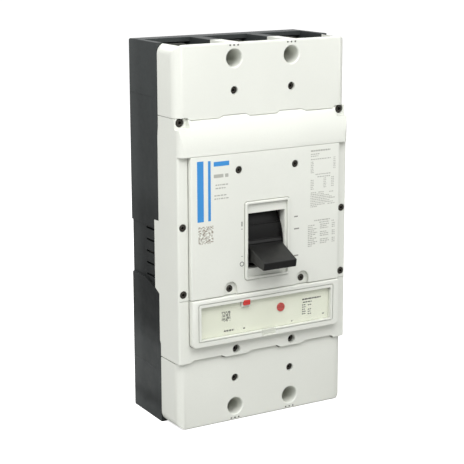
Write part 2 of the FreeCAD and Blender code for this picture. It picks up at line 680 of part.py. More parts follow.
def contact_arm(x):
    arm = prism_yz(ARM_OUTLINE, x - ARM_HALF, x + ARM_HALF, ARM_RADII)
    arm = arm.cut([cyl_x(LINK_R + FIT, x - 12, x + 12, BAR_Y, BAR_Z)])
    return main_solid(opened(arm))


def moving_tip(x):
    return opened(prism_yz([(-20.9, 39.0), (-17.6, 40.2), (-17.2, 44.5), (-17.6, 48.8),
                            (-20.9, 50.0)], x - ARM_HALF, x + ARM_HALF, [0, 1, 2, 1, 0]))


def make_crossbar():
    adds = []
    # square holder body round each set of arms
    for x in PX:
        adds.append(opened(prism_yz(rect(-47.5, -17, -36, -12), x - 12.5, x + 12.5, 4.0)))
    # drive ears for the lower links
    for side in SIDES:
        adds.append(link((BAR_Y, BAR_Z), LINK_PIN, 8.0, 5.0, side * 10.9, side * 12.5))
    body = fuse([cyl_x(BAR_R, -96, 96, BAR_Y, BAR_Z)] + adds)
    cuts = []
    for x in PX:
        # window for the arms
        cuts.append(opened(prism_yz(rect(-52, -15, -50, 0), x - 7.0, x + 7.0)))
        cuts.append(cyl_x(LINK_R + FIT, x - 9.8, x + 9.8, BAR_Y, BAR_Z))
    cuts.append(cyl_x(LINK_R + FIT, -14, 14, *LINK_PIN))
    body = body.cut(cuts)
    # web that joins the two halves of each holder in front of the arms
    webs = [opened(prism_yz(rect(-47.3, -44.7, -34, -12.4), x - 7.2, x + 7.2)) for x in PX]
    return fuse([body] + webs)


def contact_spring(x):
    """Arched leaf between the holder web and the arms of one pole."""
    return opened(prism_yz([(-43.35, -23.1), (-39.05, -20.6), (-39.05, -15.4),
                            (-43.35, -12.9), (-44.0, -13.3), (-39.8, -15.7),
                            (-39.8, -20.3), (-44.0, -22.7)], x - 4.5, x + 4.5))


add_group("contact_arms", [contact_arm(x) for x in ARM_X])
add_group("moving_contact_tips", [moving_tip(x) for x in ARM_X])
add_group("contact_arm_pins", [cyl_x(LINK_R, x - 9.6, x + 9.6, BAR_Y, BAR_Z) for x in PX])
add_part("crossbar", make_crossbar())
add_group("contact_springs", [contact_spring(x) for x in PX])


# ----------------------------------------------- fixed contacts and conductors
BAR_FRONT_Y, BAR_REAR_Y = -13.0, -7.0      # conductor faces near the base floor
PAD_FRONT_Y, PAD_REAR_Y = -36.5, -30.0     # conductor faces at the terminal
PAD_END_Z = 197.5


def conductor(x, end, inner_z, screw_z):
    """Stepped conductor from inner_z to a wide terminal pad at one end."""
    outline = [(BAR_FRONT_Y, inner_z), (BAR_FRONT_Y, end * 143.0),
               (PAD_FRONT_Y, end * 147.5), (PAD_FRONT_Y, end * PAD_END_Z),
               (PAD_REAR_Y, end * PAD_END_Z), (PAD_REAR_Y, end * 152.5),
               (BAR_REAR_Y, end * 148.0), (BAR_REAR_Y, inner_z)]
    strip = prism_yz(outline, x - 11, x + 11, [1, 4, 5, 1.5, 1.5, 3, 3, 1])
    pad = prism_xz(rect(x - 20.0, x + 20.0, end * 156.0, end * PAD_END_Z),
                   PAD_FRONT_Y, PAD_REAR_Y, 4.0)
    body = fuse([strip, pad])
    return main_solid(body.cut([cyl_y(5.5, x, end * TERMINAL_Z, -40, -20),
                                cyl_y(2.7, x, screw_z, -20, 0)]))


def shunt(x):
    """Braid from the heel of the arms to the load conductor."""
    return prism_yz([(-7.2, -62.5), (-7.2, -56.0), (-10.5, -52.5), (-17.0, -51.0),
                     (-19.6, -49.0), (-21.5, -51.4), (-18.2, -54.2), (-12.6, -56.0),
                     (-10.6, -58.0), (-10.6, -62.5)],
                    x - 8, x + 8, [0, 2, 2, 2, 0, 0, 2, 2, 1, 0])


def terminal_nut(x, end):
    half = 9.1
    nut = prism_xz(rect(x - half, x + half, end * (TERMINAL_Z - half),
                        end * (TERMINAL_Z + half)), -29.2, -21.7, 1.2)
    return nut.cut(cyl_y(4.6, x, end * TERMINAL_Z, -40, -10))


add_group("line_conductors", [conductor(x, 1, inner_z=36.0, screw_z=92.0) for x in PX])
add_group("load_conductors", [conductor(x, -1, inner_z=-64.0, screw_z=-126.0) for x in PX])
add_group("fixed_contact_tips",
          [prism_xz(rect(x - 7.0, x + 7.0, 38.5, 52.0), -16.6, BAR_FRONT_Y, 1.2) for x in PX])
add_group("conductor_screws", [screw(x, z, y_head=-16.5, head_r=4.5, shank_r=2.5, y_end=-3.0,
                                     head_h=3.4) for x, z in CONDUCTOR_SCREWS])
add_group("flexible_shunts", [shunt(x) for x in PX])
add_group("terminal_nuts", [terminal_nut(x, end) for x in PX for end in SIDES])


# ---------------------------------------------------------------- arc chutes
PLATE_Y = [-20.5 - 6.6 * i for i in range(8)]   # rear faces of the plates
PLATE_T = 1.6
TAB_Z = ((66, 72), (94, 100))                   # Z ranges of the plate tabs


def arc_plate(x, y):
    """Plate with a throat open towards the contacts and two tabs per side."""
    front_y = y - PLATE_T
    plate = prism_xz([(x - 21, 55.5), (x - 9.0, 55.5), (x - 4.5, 74.0), (x + 4.5, 74.0),
                      (x + 9.0, 55.5), (x + 21, 55.5), (x + 21, 108.0), (x - 21, 108.0)],
                     y, front_y, [1, 1, 3, 3, 1, 1, 1, 1])
    tabs = [box(x + side * 20.5, x + side * 22.6, y, front_y, z0, z1)
            for z0, z1 in TAB_Z for side in SIDES]
    return main_solid(fuse([plate] + tabs))


def arc_side_board(x, side):
    """Board beside the plates, slotted for their tabs."""
    board = box(x + side * 21.15, x + side * 22.75, -15.5, -72.0, 53.0, 110.0)
    slots = [box(x + side * 20.9, x + side * 23.0, y + 0.15, y - PLATE_T - 0.15,
                 z0 - 0.15, z1 + 0.15) for y in PLATE_Y for z0, z1 in TAB_Z]
    return main_solid(board.cut(slots))


def vent_screen(x):
    holes = [cyl_z(1.6, x + offset, y, 112, 116)
             for offset in range(-18, 19, 6) for y in range(-24, -65, -8)]
    return main_solid(box(x - 24, x + 24, -16, -71, 113.0, 114.6).cut(holes))


add_group("arc_chute_plates", [arc_plate(x, y) for x in PX for y in PLATE_Y])
add_group("arc_chute_side_boards", [arc_side_board(x, side) for x in PX for side in SIDES])
add_group("arc_vent_screens", [vent_screen(x) for x in PX])


# ------------------------------------------------------- operating mechanism
# (y, z) outline of a mechanism side plate, from its upper foot
FRAME_OUTLINE = [(-12.2, 44.0), (-12.2, 17.0), (-18.0, 11.0), (-18.0, -38.0),
                 (-12.2, -42.0), (-12.2, -50.0), (-30.0, -56.0), (-82.0, -58.0),
                 (-84.0, -40.0), (-66.0, -24.0), (-55.0, 4.0), (-70.0, 30.0),
                 (-68.0, 44.0), (-40.0, 47.0)]
FRAME_RADII = [1, 2, 3, 3, 2, 1, 4, 4, 6, 8, 8, 6, 5, 4]

# (y, z) outline of a cradle plate, from the pivot down the rear edge
CRADLE_OUTLINE = [(-67.5, 40.5), (-56.5, 40.5), (-56.5, 31.0), (-64.0, 20.0),
                  (-72.5, 5.0), (-72.5, -8.0), (-70.5, -30.0), (-70.5, -44.5),
                  (-74.6, -44.5), (-78.0, -30.0), (-83.0, -8.0), (-83.5, 4.0),
                  (-76.0, 20.0)]
CRADLE_RADII = [5, 5, 3, 4, 4, 4, 3, 1, 1, 4, 4, 5, 6]


def side_frame(side):
    plate = prism_yz(FRAME_OUTLINE, side * FRAME_X0, side * FRAME_X1, FRAME_RADII)
    # feet bent outwards, screwed to the base
    feet = [box(side * FRAME_X0, side * 24.0, -14.2, -12.2, z0, z1)
            for z0, z1 in ((31, 43.5), (-49.5, -41))]
    plate = fuse([plate] + feet)
    # radius, y and z of the holes through the plate
    holes = [(11.6, BAR_Y, BAR_Z), (PIVOT_R + FIT, HND_Y, HND_Z),
             (PIVOT_R + FIT, *CRADLE_PIVOT), (LATCH_R + FIT, *LATCH_PIVOT)]
    holes += [(LINK_R + FIT, y, z) for y, z in TIE_PINS]
    cuts = [cyl_x(radius, side * (FRAME_X0 - 1), side * (FRAME_X1 + 1), y, z)
            for radius, y, z in holes]
    cuts += [cyl_y(1.8, x, z, -20, -5) for x, z in FOOT_SCREWS if x * side > 0]
    return plate.cut(cuts)


def tie_pin(y, z):
    return fuse([cyl_x(LINK_R, -19.3, 19.3, y, z), cyl_x(3.4, -16.4, 16.4, y, z)])


def yoke_pin(side):
    """Short shouldered pin on which the yoke turns."""
    return fuse([cyl_x(PIVOT_R, side * 15.7, side * 23.4, HND_Y, HND_Z),
                 cyl_x(4.6, side * 23.3, side * 24.6, HND_Y, HND_Z)])


def make_yoke():
    """U-shaped yoke that carries the handle, drawn level and then turned."""
    reach_y = HND_Y - 60.2
    leg = [(HND_Y + 6.5, HND_Z - 6.5), (HND_Y + 6.5, HND_Z + 6.5), (HND_Y - 40, HND_Z + 9.0),
           (reach_y, HND_Z + 6.5), (reach_y, HND_Z - 6.5), (HND_Y - 40, HND_Z - 9.0)]
    adds = [prism_yz(leg, side * 20.2, side * 22.6, [6, 6, 5, 1, 1, 5]) for side in SIDES]
    adds.append(box(-22.6, 22.6, reach_y, HND_Y - 57.8, HND_Z - 6.5, HND_Z + 6.5))
    # bar that holds the toggle springs
    adds.append(cyl_x(LATCH_R, -21, 21, HND_Y - SPRING_BAR_REACH, HND_Z))
    yoke = fuse(adds).cut([cyl_x(PIVOT_R + FIT, -30, 30, HND_Y, HND_Z)])
    return turned(yoke, HND_Y, HND_Z, HND_REST)


def make_cradle():
    """Two plates joined by a web at the latch end."""
    adds = [prism_yz(CRADLE_OUTLINE, side * 13.9, side * 15.6, CRADLE_RADII)
            for side in SIDES]
    adds.append(box(-14.5, 14.5, -74.4, -71.6, -44.5, -38.0))
    return fuse(adds).cut([cyl_x(PIVOT_R + FIT, -20, 20, *CRADLE_PIVOT),
                           cyl_x(LINK_R + FIT, -20, 20, *CRADLE_PIN)])


def upper_link(side):
    """Link drawn along +Y from the cradle pin, with a fork for the toggle
    pin, then turned into place."""
    y, z = CRADLE_PIN
    x0, x1 = sorted((side * 11.6, side * 13.4))
    body = fuse([prism_yz([(y, z - 5.0), (y + 25.5, z - 7.4), (y + 25.5, z + 7.4),
                           (y, z + 5.0)], x0, x1, [0, 2, 2, 0]),
                 cyl_x(5.0, x0, x1, y, z)])
    fork_y, fork_r = y + 14.2, 4.1
    fork = fuse([box(x0 - 1, x1 + 1, fork_y, y + 30, z - fork_r, z + fork_r),
                 cyl_x(fork_r, x0 - 1, x1 + 1, fork_y, z)])
    body = body.cut([fork, cyl_x(LINK_R + FIT, x0 - 1, x1 + 1, y, z)])
    angle = math.degrees(math.atan2(TOGGLE_PIN[1] - z, TOGGLE_PIN[0] - y))
    return main_solid(turned(body, y, z, angle))


def lower_link(side):
    x0, x1 = sorted((side * 8.6, side * 10.6))
    body = link(LINK_PIN, TOGGLE_PIN, 5.0, 5.2, x0, x1)
    return main_solid(body.cut([cyl_x(LINK_R + FIT, x0 - 1, x1 + 1, *LINK_PIN),
                                cyl_x(PIVOT_R + FIT, x0 - 1, x1 + 1, *TOGGLE_PIN)]))


def toggle_spring(x):
    """Coil between the toggle pin and the spring bar of the yoke, with an
    end loop round each of them."""
    pin = Vector(x, *TOGGLE_PIN)
    bar = Vector(x, *handle_point(SPRING_BAR_REACH, -HND_REST))
    axis = (bar - pin).normalize()
    wire_r, play = 0.65, 0.12
    pin_loop_r = PIVOT_R + wire_r + play
    bar_loop_r = LATCH_R + wire_r + play
    start = pin + axis * (pin_loop_r + 2 * wire_r + 0.1)
    end = bar - axis * (bar_loop_r + 2 * wire_r + 0.1)
    return [helix_spring(start, end, coil_r=3.1, wire_r=wire_r, turns=8),
            Part.makeTorus(pin_loop_r, wire_r, pin, Vector(1, 0, 0)),
            Part.makeTorus(bar_loop_r, wire_r, bar, Vector(1, 0, 0))]


def make_latch():
    """Latch lever at the cradle tip."""
    z = LATCH_PIVOT[1]
    latch = fuse([cyl_x(4.0, -13.0, 13.0, *LATCH_PIVOT),
                  box(-13.0, 13.0, -76.8, -75.0, z, -40.8),
                  box(-4.0, 4.0, -79.0, -77.2, z, -62.5)])
    return latch.cut([cyl_x(LATCH_R + FIT, -20, 20, *LATCH_PIVOT)])


def make_trip_bar():
    """Bar with a paddle for the push button, a finger for the latch and a
    tongue over the actuator."""
    return fuse([cyl_x(4.0, -56, 56, *TRIP_BAR),
                 box(-31.0, -21.0, -86.8, -84.8, TRIP_BAR[1], -75.0),
                 box(-5.0, 5.0, -84.0, -79.9, -66.0, -63.8),
                 box(38.0, 50.0, -88.5, -84.0, -66.0, -63.0)])


add_part("mechanism_frame_left", side_frame(-1))
add_part("mechanism_frame_right", side_frame(1))
add_group("frame_tie_pins", [tie_pin(y, z) for y, z in TIE_PINS])
add_group("mechanism_screws", [screw(x, z, y_head=-17.0, head_r=2.7, shank_r=1.6, y_end=-6.0,
                                     head_h=2.6, socket=False) for x, z in FOOT_SCREWS])
add_group("yoke_pivot_pins", [yoke_pin(1), yoke_pin(-1)])
add_part("handle_yoke", make_yoke())
add_part("cradle", make_cradle())
add_group("cradle_pivot_pins",
          [cyl_x(PIVOT_R, side * 13.4, side * 19.6, *CRADLE_PIVOT) for side in (1, -1)])
add_part("cradle_link_pin", cyl_x(LINK_R, -16.2, 16.2, *CRADLE_PIN))
add_group("upper_links", [upper_link(side) for side in SIDES])
add_group("lower_links", [lower_link(side) for side in SIDES])
add_part("toggle_pin", cyl_x(PIVOT_R, -13.6, 13.6, *TOGGLE_PIN))
add_group("lower_link_pins",
          [cyl_x(LINK_R, side * 8.4, side * 12.7, *LINK_PIN) for side in (1, -1)])
add_group("toggle_springs", toggle_spring(-4.4) + toggle_spring(4.4))
add_part("latch", make_latch())
add_part("latch_pin", cyl_x(LATCH_R, -19.4, 19.4, *LATCH_PIVOT))
add_part("trip_bar", make_trip_bar())


# ----------------------------------------------------------------- trip unit
HOUSING_X = 84.0                       # half width of the housing
HOUSING_Z0, HOUSING_Z1 = -122.0, -76.5
BUTTON_X, BUTTON_Z = -26.0, -70.5      # push button axis
DIAL_X, DIAL_Z = 19.0, -83.0           # dial axis
PLUNGER_X, PLUNGER_Y = 44.0, -84.0     # actuator plunger axis
PLUNGER_HOLE_R = 2.56
HINGE_Y, HINGE_Z = -116.0, -70.3       # window hinge axis


def make_trip_housing():
    wall = 2.4
    body = box(-HOUSING_X, HOUSING_X, -103.5, -48.0, HOUSING_Z0, HOUSING_Z1)
    body = body.cut([box(-HOUSING_X + wall, HOUSING_X - wall, -110, -50.4,
                         HOUSING_Z0 + wall, HOUSING_Z1 - wall)])
    adds = []
    for side in SIDES:
        # lugs that carry the trip bar
        adds.append(box(side * 50, side * 54, -90.5, -77.5, HOUSING_Z1 - 2.0,
                        TRIP_BAR[1] + 7.0))
    # posts for the circuit board
    adds += [cyl_y(3.5, x, z, -64.0, -50.0) for x, z in BOARD_SCREWS]
    body = fuse([body] + adds)
    cuts = [cyl_x(4.06, -60, 60, *TRIP_BAR)]
    cuts += [cyl_y(1.3, x, z, -64.5, -55) for x, z in BOARD_SCREWS]
    cuts.append(cyl_z(PLUNGER_HOLE_R, PLUNGER_X, PLUNGER_Y, HOUSING_Z1 - 3, HOUSING_Z1 + 1))
    # clearance round the two lower cover screw columns
    cuts += [cyl_y(7.6, x, z, -120, -40) for x, z in LOWER_SCREWS]
    # three slots in the rear wall
    cuts += [box(x - 8, x + 8, -52, -46, -112, -104) for x in (-44, 0, 44)]
    body = main_solid(body.cut(cuts))
    # keeper plate that the button return spring bears on
    keeper = fuse([box(-33, -19, -96.9, -95.2, -78.0, -66.0),
                   box(-33, -19, -100, -95.2, -79.0, -76.6)])
    keeper = keeper.cut([cyl_y(2.0, BUTTON_X, BUTTON_Z, -100, -90)])
    return fuse([body, keeper])


def make_circuit_board():
    front_y = -65.6
    board = prism_xz(rect(-78, 78, -112.0, -81.0), front_y, -64.1, 1.0)
    board = board.cut([cyl_y(1.6, x, z, -70, -60) for x, z in BOARD_SCREWS] +
                      [cyl_y(8.2, x, z, -70, -60) for x, z in LOWER_SCREWS])
    # components: x0, x1, front y, z0, z1
    chips = [(-60, -44, -68.4, -104, -90), (-30, -20, -67.6, -100, -90),
             (62, 68, -72.0, -108, -102), (2, 14, -67.4, -108, -98),
             (-12, -4, -71.0, -92, -84)]
    return fuse([board] + [box(x0, x1, front_y, y, z0, z1) for x0, x1, y, z0, z1 in chips])


def make_actuator():
    block = box(34, 54, -94.0, -73.0, -104.0, -80.5)
    # upright edges
    block = fillet(block, 1.0, lambda edge: edge.BoundBox.ZLength > 20)
    return block.cut([cyl_z(PLUNGER_HOLE_R, PLUNGER_X, PLUNGER_Y, -93.0, -79)])


def current_transformer(x):
    """Block round the load conductor, with a pocket in its upper face."""
    block = prism_xy(rect(x - 23, x + 23, -42.0, -5.3), -112.0, -84.0, 4.0)
    block = block.cut([box(x - 11.8, x + 11.8, -14.0, -5.8, -115, -80)])
    pocket = prism_xy(rect(x - 12.5, x + 12.5, -36.0, -18.0), -96.0, -80.0, 2.0)
    return main_solid(block.cut([pocket]))


def make_trip_frame():
    body = prism_xz(rect(-PANEL_X, PANEL_X, -112.0, PANEL_Z0 - 0.7), Y_SEAT, Y_TRIM,
                    [5, 5, 1.2, 1.2])
    body = fillet_front(body, 1.2, Y_TRIM)
    skirt = prism_xz(rect(-85.9, 85.9, -108.2, -63.8), Y_FACE - 1, -105.0, 1.2)
    body = fuse([body, skirt])
    # fine groove round the window
    groove = prism_xz(rect(-85.1, 85.1, -106.4, -65.1), Y_TRIM - 1, Y_TRIM + 1.2, 2.4).cut(
        prism_xz(rect(-84.2, 84.2, -105.5, -66.0), Y_TRIM - 2, Y_TRIM + 2.0, 1.6))
    body = body.cut([prism_xz(rect(-81.5, 81.5, -104.3, -69.0), -112.4, -120, 0.8),
                     prism_xz(rect(-80.0, 80.0, -103.0, -72.0), -109.4, -100, 0.8),
                     groove])
    # guide of the push button and bush of the dial
    guide = prism_xz(rect(BUTTON_X - 5.2, BUTTON_X + 5.2, -75.2, -68.0), -116.6, -105.6, 0.8)
    bush = cyl_y(4.6, DIAL_X, DIAL_Z, -112.4, -104.0)
    body = fuse([body, guide, bush])
    hinge_holes = cyl_x(0.96, -83.2, 83.2, HINGE_Y, HINGE_Z).cut(
        box(-81.4, 81.4, -118, -114, -72, -68))
    body = body.cut([box(BUTTON_X - 3.95, BUTTON_X + 3.95, -125, -95,
                         BUTTON_Z - 2.75, BUTTON_Z + 2.75),
                     cyl_y(2.56, DIAL_X, DIAL_Z, -120, -95), hinge_holes])
    # little finger relief under the window tab
    return body.cut([prism_xz(rect(-6.9, 10.0, -110.4, -101.0), Y_TRIM - 1, -116.4, 1.0)])


def make_label_plate():
    plate = prism_xz(rect(-81.2, 81.2, -104.0, -69.3), -113.5, -112.45, 0.5)
    return plate.cut([box(-31.5, -20.5, -120, -100, -75.5, -60),
                      cyl_y(3.0, DIAL_X, DIAL_Z, -120, -100)])


def make_window():
    """Hinged window with a notch round the button, a tab and a rib."""
    pane = prism_xz(rect(-81.2, 81.2, -104.0, -69.6), -116.8, -115.2, [1.0, 1.0, 0.3, 0.3])
    pane = pane.cut([prism_xz(rect(-32.0, -20.0, -76.0, -60.0), -120, -110, 0.8)])
    tab = prism_xz(rect(-6.7, 9.8, -110.2, -101.8), -118.6, -116.7, 0.9)
    rib = box(-6.0, 9.1, -119.3, -118.4, -109.6, -108.4)
    pins = [cyl_x(0.9, side * 81.0, side * 82.9, HINGE_Y, HINGE_Z) for side in SIDES]
    return fuse([pane, tab, rib] + pins)


def make_button():
    front_y = -118.8
    cap = box(BUTTON_X - 3.85, BUTTON_X + 3.85, front_y, -104.9,
              BUTTON_Z - 2.65, BUTTON_Z + 2.65)
    cap = fillet_front(cap, 0.5, front_y)
    button = fuse([cap, cyl_y(1.9, BUTTON_X, BUTTON_Z, -107, -88.3)])
    # shallow slot across the front
    return button.cut([box(BUTTON_X - 2.6, BUTTON_X + 2.6, -120, -118.4,
                           BUTTON_Z - 0.25, BUTTON_Z + 0.25)])


def make_dial():
    front_y = -114.9
    disc = fillet_front(cyl_y(4.8, DIAL_X, DIAL_Z, front_y, -113.6), 0.4, front_y)
    dial = fuse([disc, cyl_y(2.5, DIAL_X, DIAL_Z, -114, -99.0)])
    slot = box(DIAL_X - 4.2, DIAL_X + 4.2, -116, -114.2, DIAL_Z - 0.6, DIAL_Z + 0.6)
    arrow = prism_xz([(DIAL_X, DIAL_Z + 4.0), (DIAL_X - 1.0, DIAL_Z + 2.2),
                      (DIAL_X + 1.0, DIAL_Z + 2.2)], -116, -114.5)
    return dial.cut([slot, arrow])


add_part("trip_unit_housing", make_trip_housing())
add_part("trip_circuit_board", make_circuit_board())
add_group("board_screws", [screw(x, z, y_head=-68.2, head_r=2.4, shank_r=1.25, y_end=-57.0,
                                 head_h=2.2, socket=False) for x, z in BOARD_SCREWS])
add_part("trip_actuator", make_actuator())
add_part("trip_actuator_plunger", cyl_z(2.5, PLUNGER_X, PLUNGER_Y, -92.0, -71.6))
add_group("current_transformers", [current_transformer(x) for x in PX])
add_part("trip_unit_frame", make_trip_frame())
add_part("trip_label_plate", make_label_plate())
add_part("trip_window", make_window())
add_part("push_to_trip_button", make_button())
add_part("button_return_spring",
         helix_spring(Vector(BUTTON_X, -104.4, BUTTON_Z), Vector(BUTTON_X, -97.4, BUTTON_Z),
                      coil_r=2.75, wire_r=0.40, turns=5))
add_part("trip_dial", make_dial())

# -------------------------------------------------------------- cover screws
# part name: rows of places, head front y, head radius, shank radius,
# shank end y, head height
COVER_SCREWS = {
    "corner_screws": [(CORNER_SCREWS, -105.2, 4.2, 2.0, -38.0, 4.0)],
    "side_screws": [(SIDE_SCREWS, -111.0, 3.8, 2.0, -38.0, 4.0)],
    "lower_cover_screws": [(LOWER_SCREWS, -107.0, 4.2, 2.5, -38.0, 4.2)],
    "accessory_cover_screws": [(PANEL_SCREWS_TOP, -115.9, 3.75, 1.6, -94.0, 3.5),
                               (PANEL_SCREWS_LOW, -113.8, 3.75, 1.6, -95.0, 3.0)],
    "terminal_cover_screws": [(TERM_SCREWS, -105.8, 3.9, 2.0, -48.0, 4.0)],
}
for name, rows in COVER_SCREWS.items():
    add_group(name, [screw(x, z, *sizes) for places, *sizes in rows for x, z in places])

# -------------------------------------------------------------------- export
os.makedirs("parts", exist_ok=True)
for name, shape in sorted(PARTS.items()):
    shape.exportStep("parts/%s.step" % name)
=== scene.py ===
"""A moulded-case breaker, standing upright on a pale studio floor.

X runs across it, Z along it with the load end at -Z, and its front looks along -Y.
The CAD pieces get procedural finishes, and print is added as thin raised prisms.
Scene units are metres. Outlines of the print are in millimetres.
"""
import json
import math
import random

import bmesh
import bpy
from mathutils import Matrix, Vector


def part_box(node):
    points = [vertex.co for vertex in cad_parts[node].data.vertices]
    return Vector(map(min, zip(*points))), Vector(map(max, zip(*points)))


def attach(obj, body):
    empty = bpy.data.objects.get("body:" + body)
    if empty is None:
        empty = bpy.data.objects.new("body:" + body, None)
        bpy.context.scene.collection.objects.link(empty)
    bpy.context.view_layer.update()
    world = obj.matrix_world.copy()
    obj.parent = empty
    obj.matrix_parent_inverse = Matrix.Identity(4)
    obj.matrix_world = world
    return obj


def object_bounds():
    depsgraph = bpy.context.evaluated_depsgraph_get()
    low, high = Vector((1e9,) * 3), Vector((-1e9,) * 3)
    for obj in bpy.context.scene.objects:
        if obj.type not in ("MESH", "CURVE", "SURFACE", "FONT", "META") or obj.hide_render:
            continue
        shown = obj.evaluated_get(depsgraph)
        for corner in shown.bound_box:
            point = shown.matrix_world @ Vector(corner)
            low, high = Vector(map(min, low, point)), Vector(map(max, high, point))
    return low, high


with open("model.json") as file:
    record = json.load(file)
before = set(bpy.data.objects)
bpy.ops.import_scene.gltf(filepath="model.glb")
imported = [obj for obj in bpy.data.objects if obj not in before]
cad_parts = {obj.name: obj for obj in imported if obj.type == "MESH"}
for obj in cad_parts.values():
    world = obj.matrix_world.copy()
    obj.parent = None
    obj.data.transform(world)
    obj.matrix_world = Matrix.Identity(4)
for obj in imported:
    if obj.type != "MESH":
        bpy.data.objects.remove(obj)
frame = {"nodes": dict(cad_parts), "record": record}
CAD_LO, CAD_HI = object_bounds()
NODES = frame["nodes"]
MM = 0.001

BASE_HALF_LENGTH = 0.2032   # half of the Z range that the base's tone stops cover
SMOOTH_ANGLE = 28           # degrees; edges that bend more stay sharp
WELD_DISTANCE = 2e-6
INK_RISE, INK_SUNK = 0.06, 0.03     # mm in front of and behind the printed face
PRINT_SEED = 41


# ------------------------------------------------------------------ helpers
def linear(rgb):
    """8-bit sRGB to a linear colour."""
    parts = [v / 255.0 for v in rgb]
    return (*(v / 12.92 if v <= 0.04045 else ((v + 0.055) / 1.055) ** 2.4 for v in parts), 1.0)


def shade(colour, factor):
    return (*(min(v * factor, 1.0) for v in colour[:3]), 1.0)


def feed(tree, socket, value):
    """Link a socket to the input, or set the input to a plain value."""
    if isinstance(value, bpy.types.NodeSocket):
        tree.links.new(value, socket)
    else:
        socket.default_value = value


def add_node(tree, kind, inputs=None, **settings):
    """Add a node. Settings come first, since they decide which inputs are in use."""
    node = tree.nodes.new(kind)
    for name, value in settings.items():
        setattr(node, name, value)
    for key, value in (inputs or {}).items():
        if value is not None:
            feed(tree, node.inputs[key], value)
    return node


def add_mesh(name, builder, mat):
    """Turn a bmesh into a linked object with one material."""
    mesh = bpy.data.meshes.new(name)
    builder.to_mesh(mesh)
    builder.free()
    mesh.materials.append(mat.material)
    made = bpy.data.objects.new(name, mesh)
    bpy.context.scene.collection.objects.link(made)
    return made


class Finish:
    """A material's node tree, wrapped so that each finish below reads as a recipe."""

    def __init__(self, name):
        self.material = bpy.data.materials.new(name)
        self.material.use_nodes = True
        self.tree = self.material.node_tree
        self.tree.nodes.clear()
        self.output = self.node("OutputMaterial")
        self.shader = self.node("BsdfPrincipled")
        self.show(self.shader.outputs["BSDF"])
        self.coord = self.node("TexCoord").outputs["Object"]

    def node(self, kind, inputs=None, **settings):
        return add_node(self.tree, "ShaderNode" + kind, inputs, **settings)

    def show(self, shader_socket):
        feed(self.tree, self.output.inputs["Surface"], shader_socket)

    def put(self, name, value):
        feed(self.tree, self.shader.inputs[name], value)

    def surface(self, colour, rough, normal, metallic=0.0, specular=0.5):
        self.put("Base Color", colour)
        self.put("Roughness", rough)
        self.put("Normal", normal)
        self.put("Metallic", metallic)
        self.put("Specular IOR Level", specular)

    def mapped(self, scale, turn=(0, 0, 0)):
        return self.node("Mapping", {"Vector": self.coord, "Scale": scale,
                                     "Rotation": turn}).outputs["Vector"]

    def noise(self, scale, detail=2.0, rough=0.5, vector=None, distort=0.0):
        return self.node("TexNoise", {"Vector": vector or self.coord, "Scale": scale,
                                      "Detail": detail, "Roughness": rough,
                                      "Distortion": distort}).outputs["Fac"]

    def voronoi(self, scale):
        return self.node("TexVoronoi", {"Vector": self.coord, "Scale": scale},
                         feature="F1").outputs["Distance"]

    def wave(self, scale, vector, distort, detail, axis="X"):
        return self.node("TexWave", {"Vector": vector, "Scale": scale, "Distortion": distort,
                                     "Detail": detail}, bands_direction=axis).outputs["Fac"]

    def ramp(self, source, span, to=(0.0, 1.0)):
        """Map the span of the source smoothly onto another range."""
        return self.node("MapRange", {"Value": source, "From Min": span[0], "From Max": span[1],
                                      "To Min": to[0], "To Max": to[1]},
                         interpolation_type="SMOOTHSTEP").outputs["Result"]

    def math(self, operation, first, second, clamp=False):
        return self.node("Math", {0: first, 1: second}, operation=operation,
                         use_clamp=clamp).outputs[0]

    def times(self, first, second, clamp=False):
        return self.math("MULTIPLY", first, second, clamp)

    def mix(self, factor, first, second):
        return self.node("Mix", {0: factor, 6: first, 7: second}, data_type="RGBA").outputs[2]

    def rounded(self, radius):
        return self.node("Bevel", {"Radius": radius}, samples=4).outputs["Normal"]

    def facing(self, direction):
        """Cosine between the surface normal and a direction."""
        normal = self.node("NewGeometry").outputs["Normal"]
        return self.node("VectorMath", {0: direction, 1: normal},
                         operation="DOT_PRODUCT").outputs["Value"]

    def edges(self, radius):
        """1 along edges of about that radius, 0 on open faces."""
        gain = 2.4
        flatness = self.facing(self.rounded(radius))
        return self.times(self.math("SUBTRACT", 1.0, flatness), gain, clamp=True)

    def crevices(self, distance):
        occlusion = self.node("AmbientOcclusion", {"Distance": distance}, samples=4)
        return self.math("SUBTRACT", 1.0, occlusion.outputs["AO"], clamp=True)

    def bump(self, height, depth, normal=None):
        return self.node("Bump", {"Height": height, "Distance": depth, "Strength": 1.0,
                                  "Normal": normal}).outputs["Normal"]


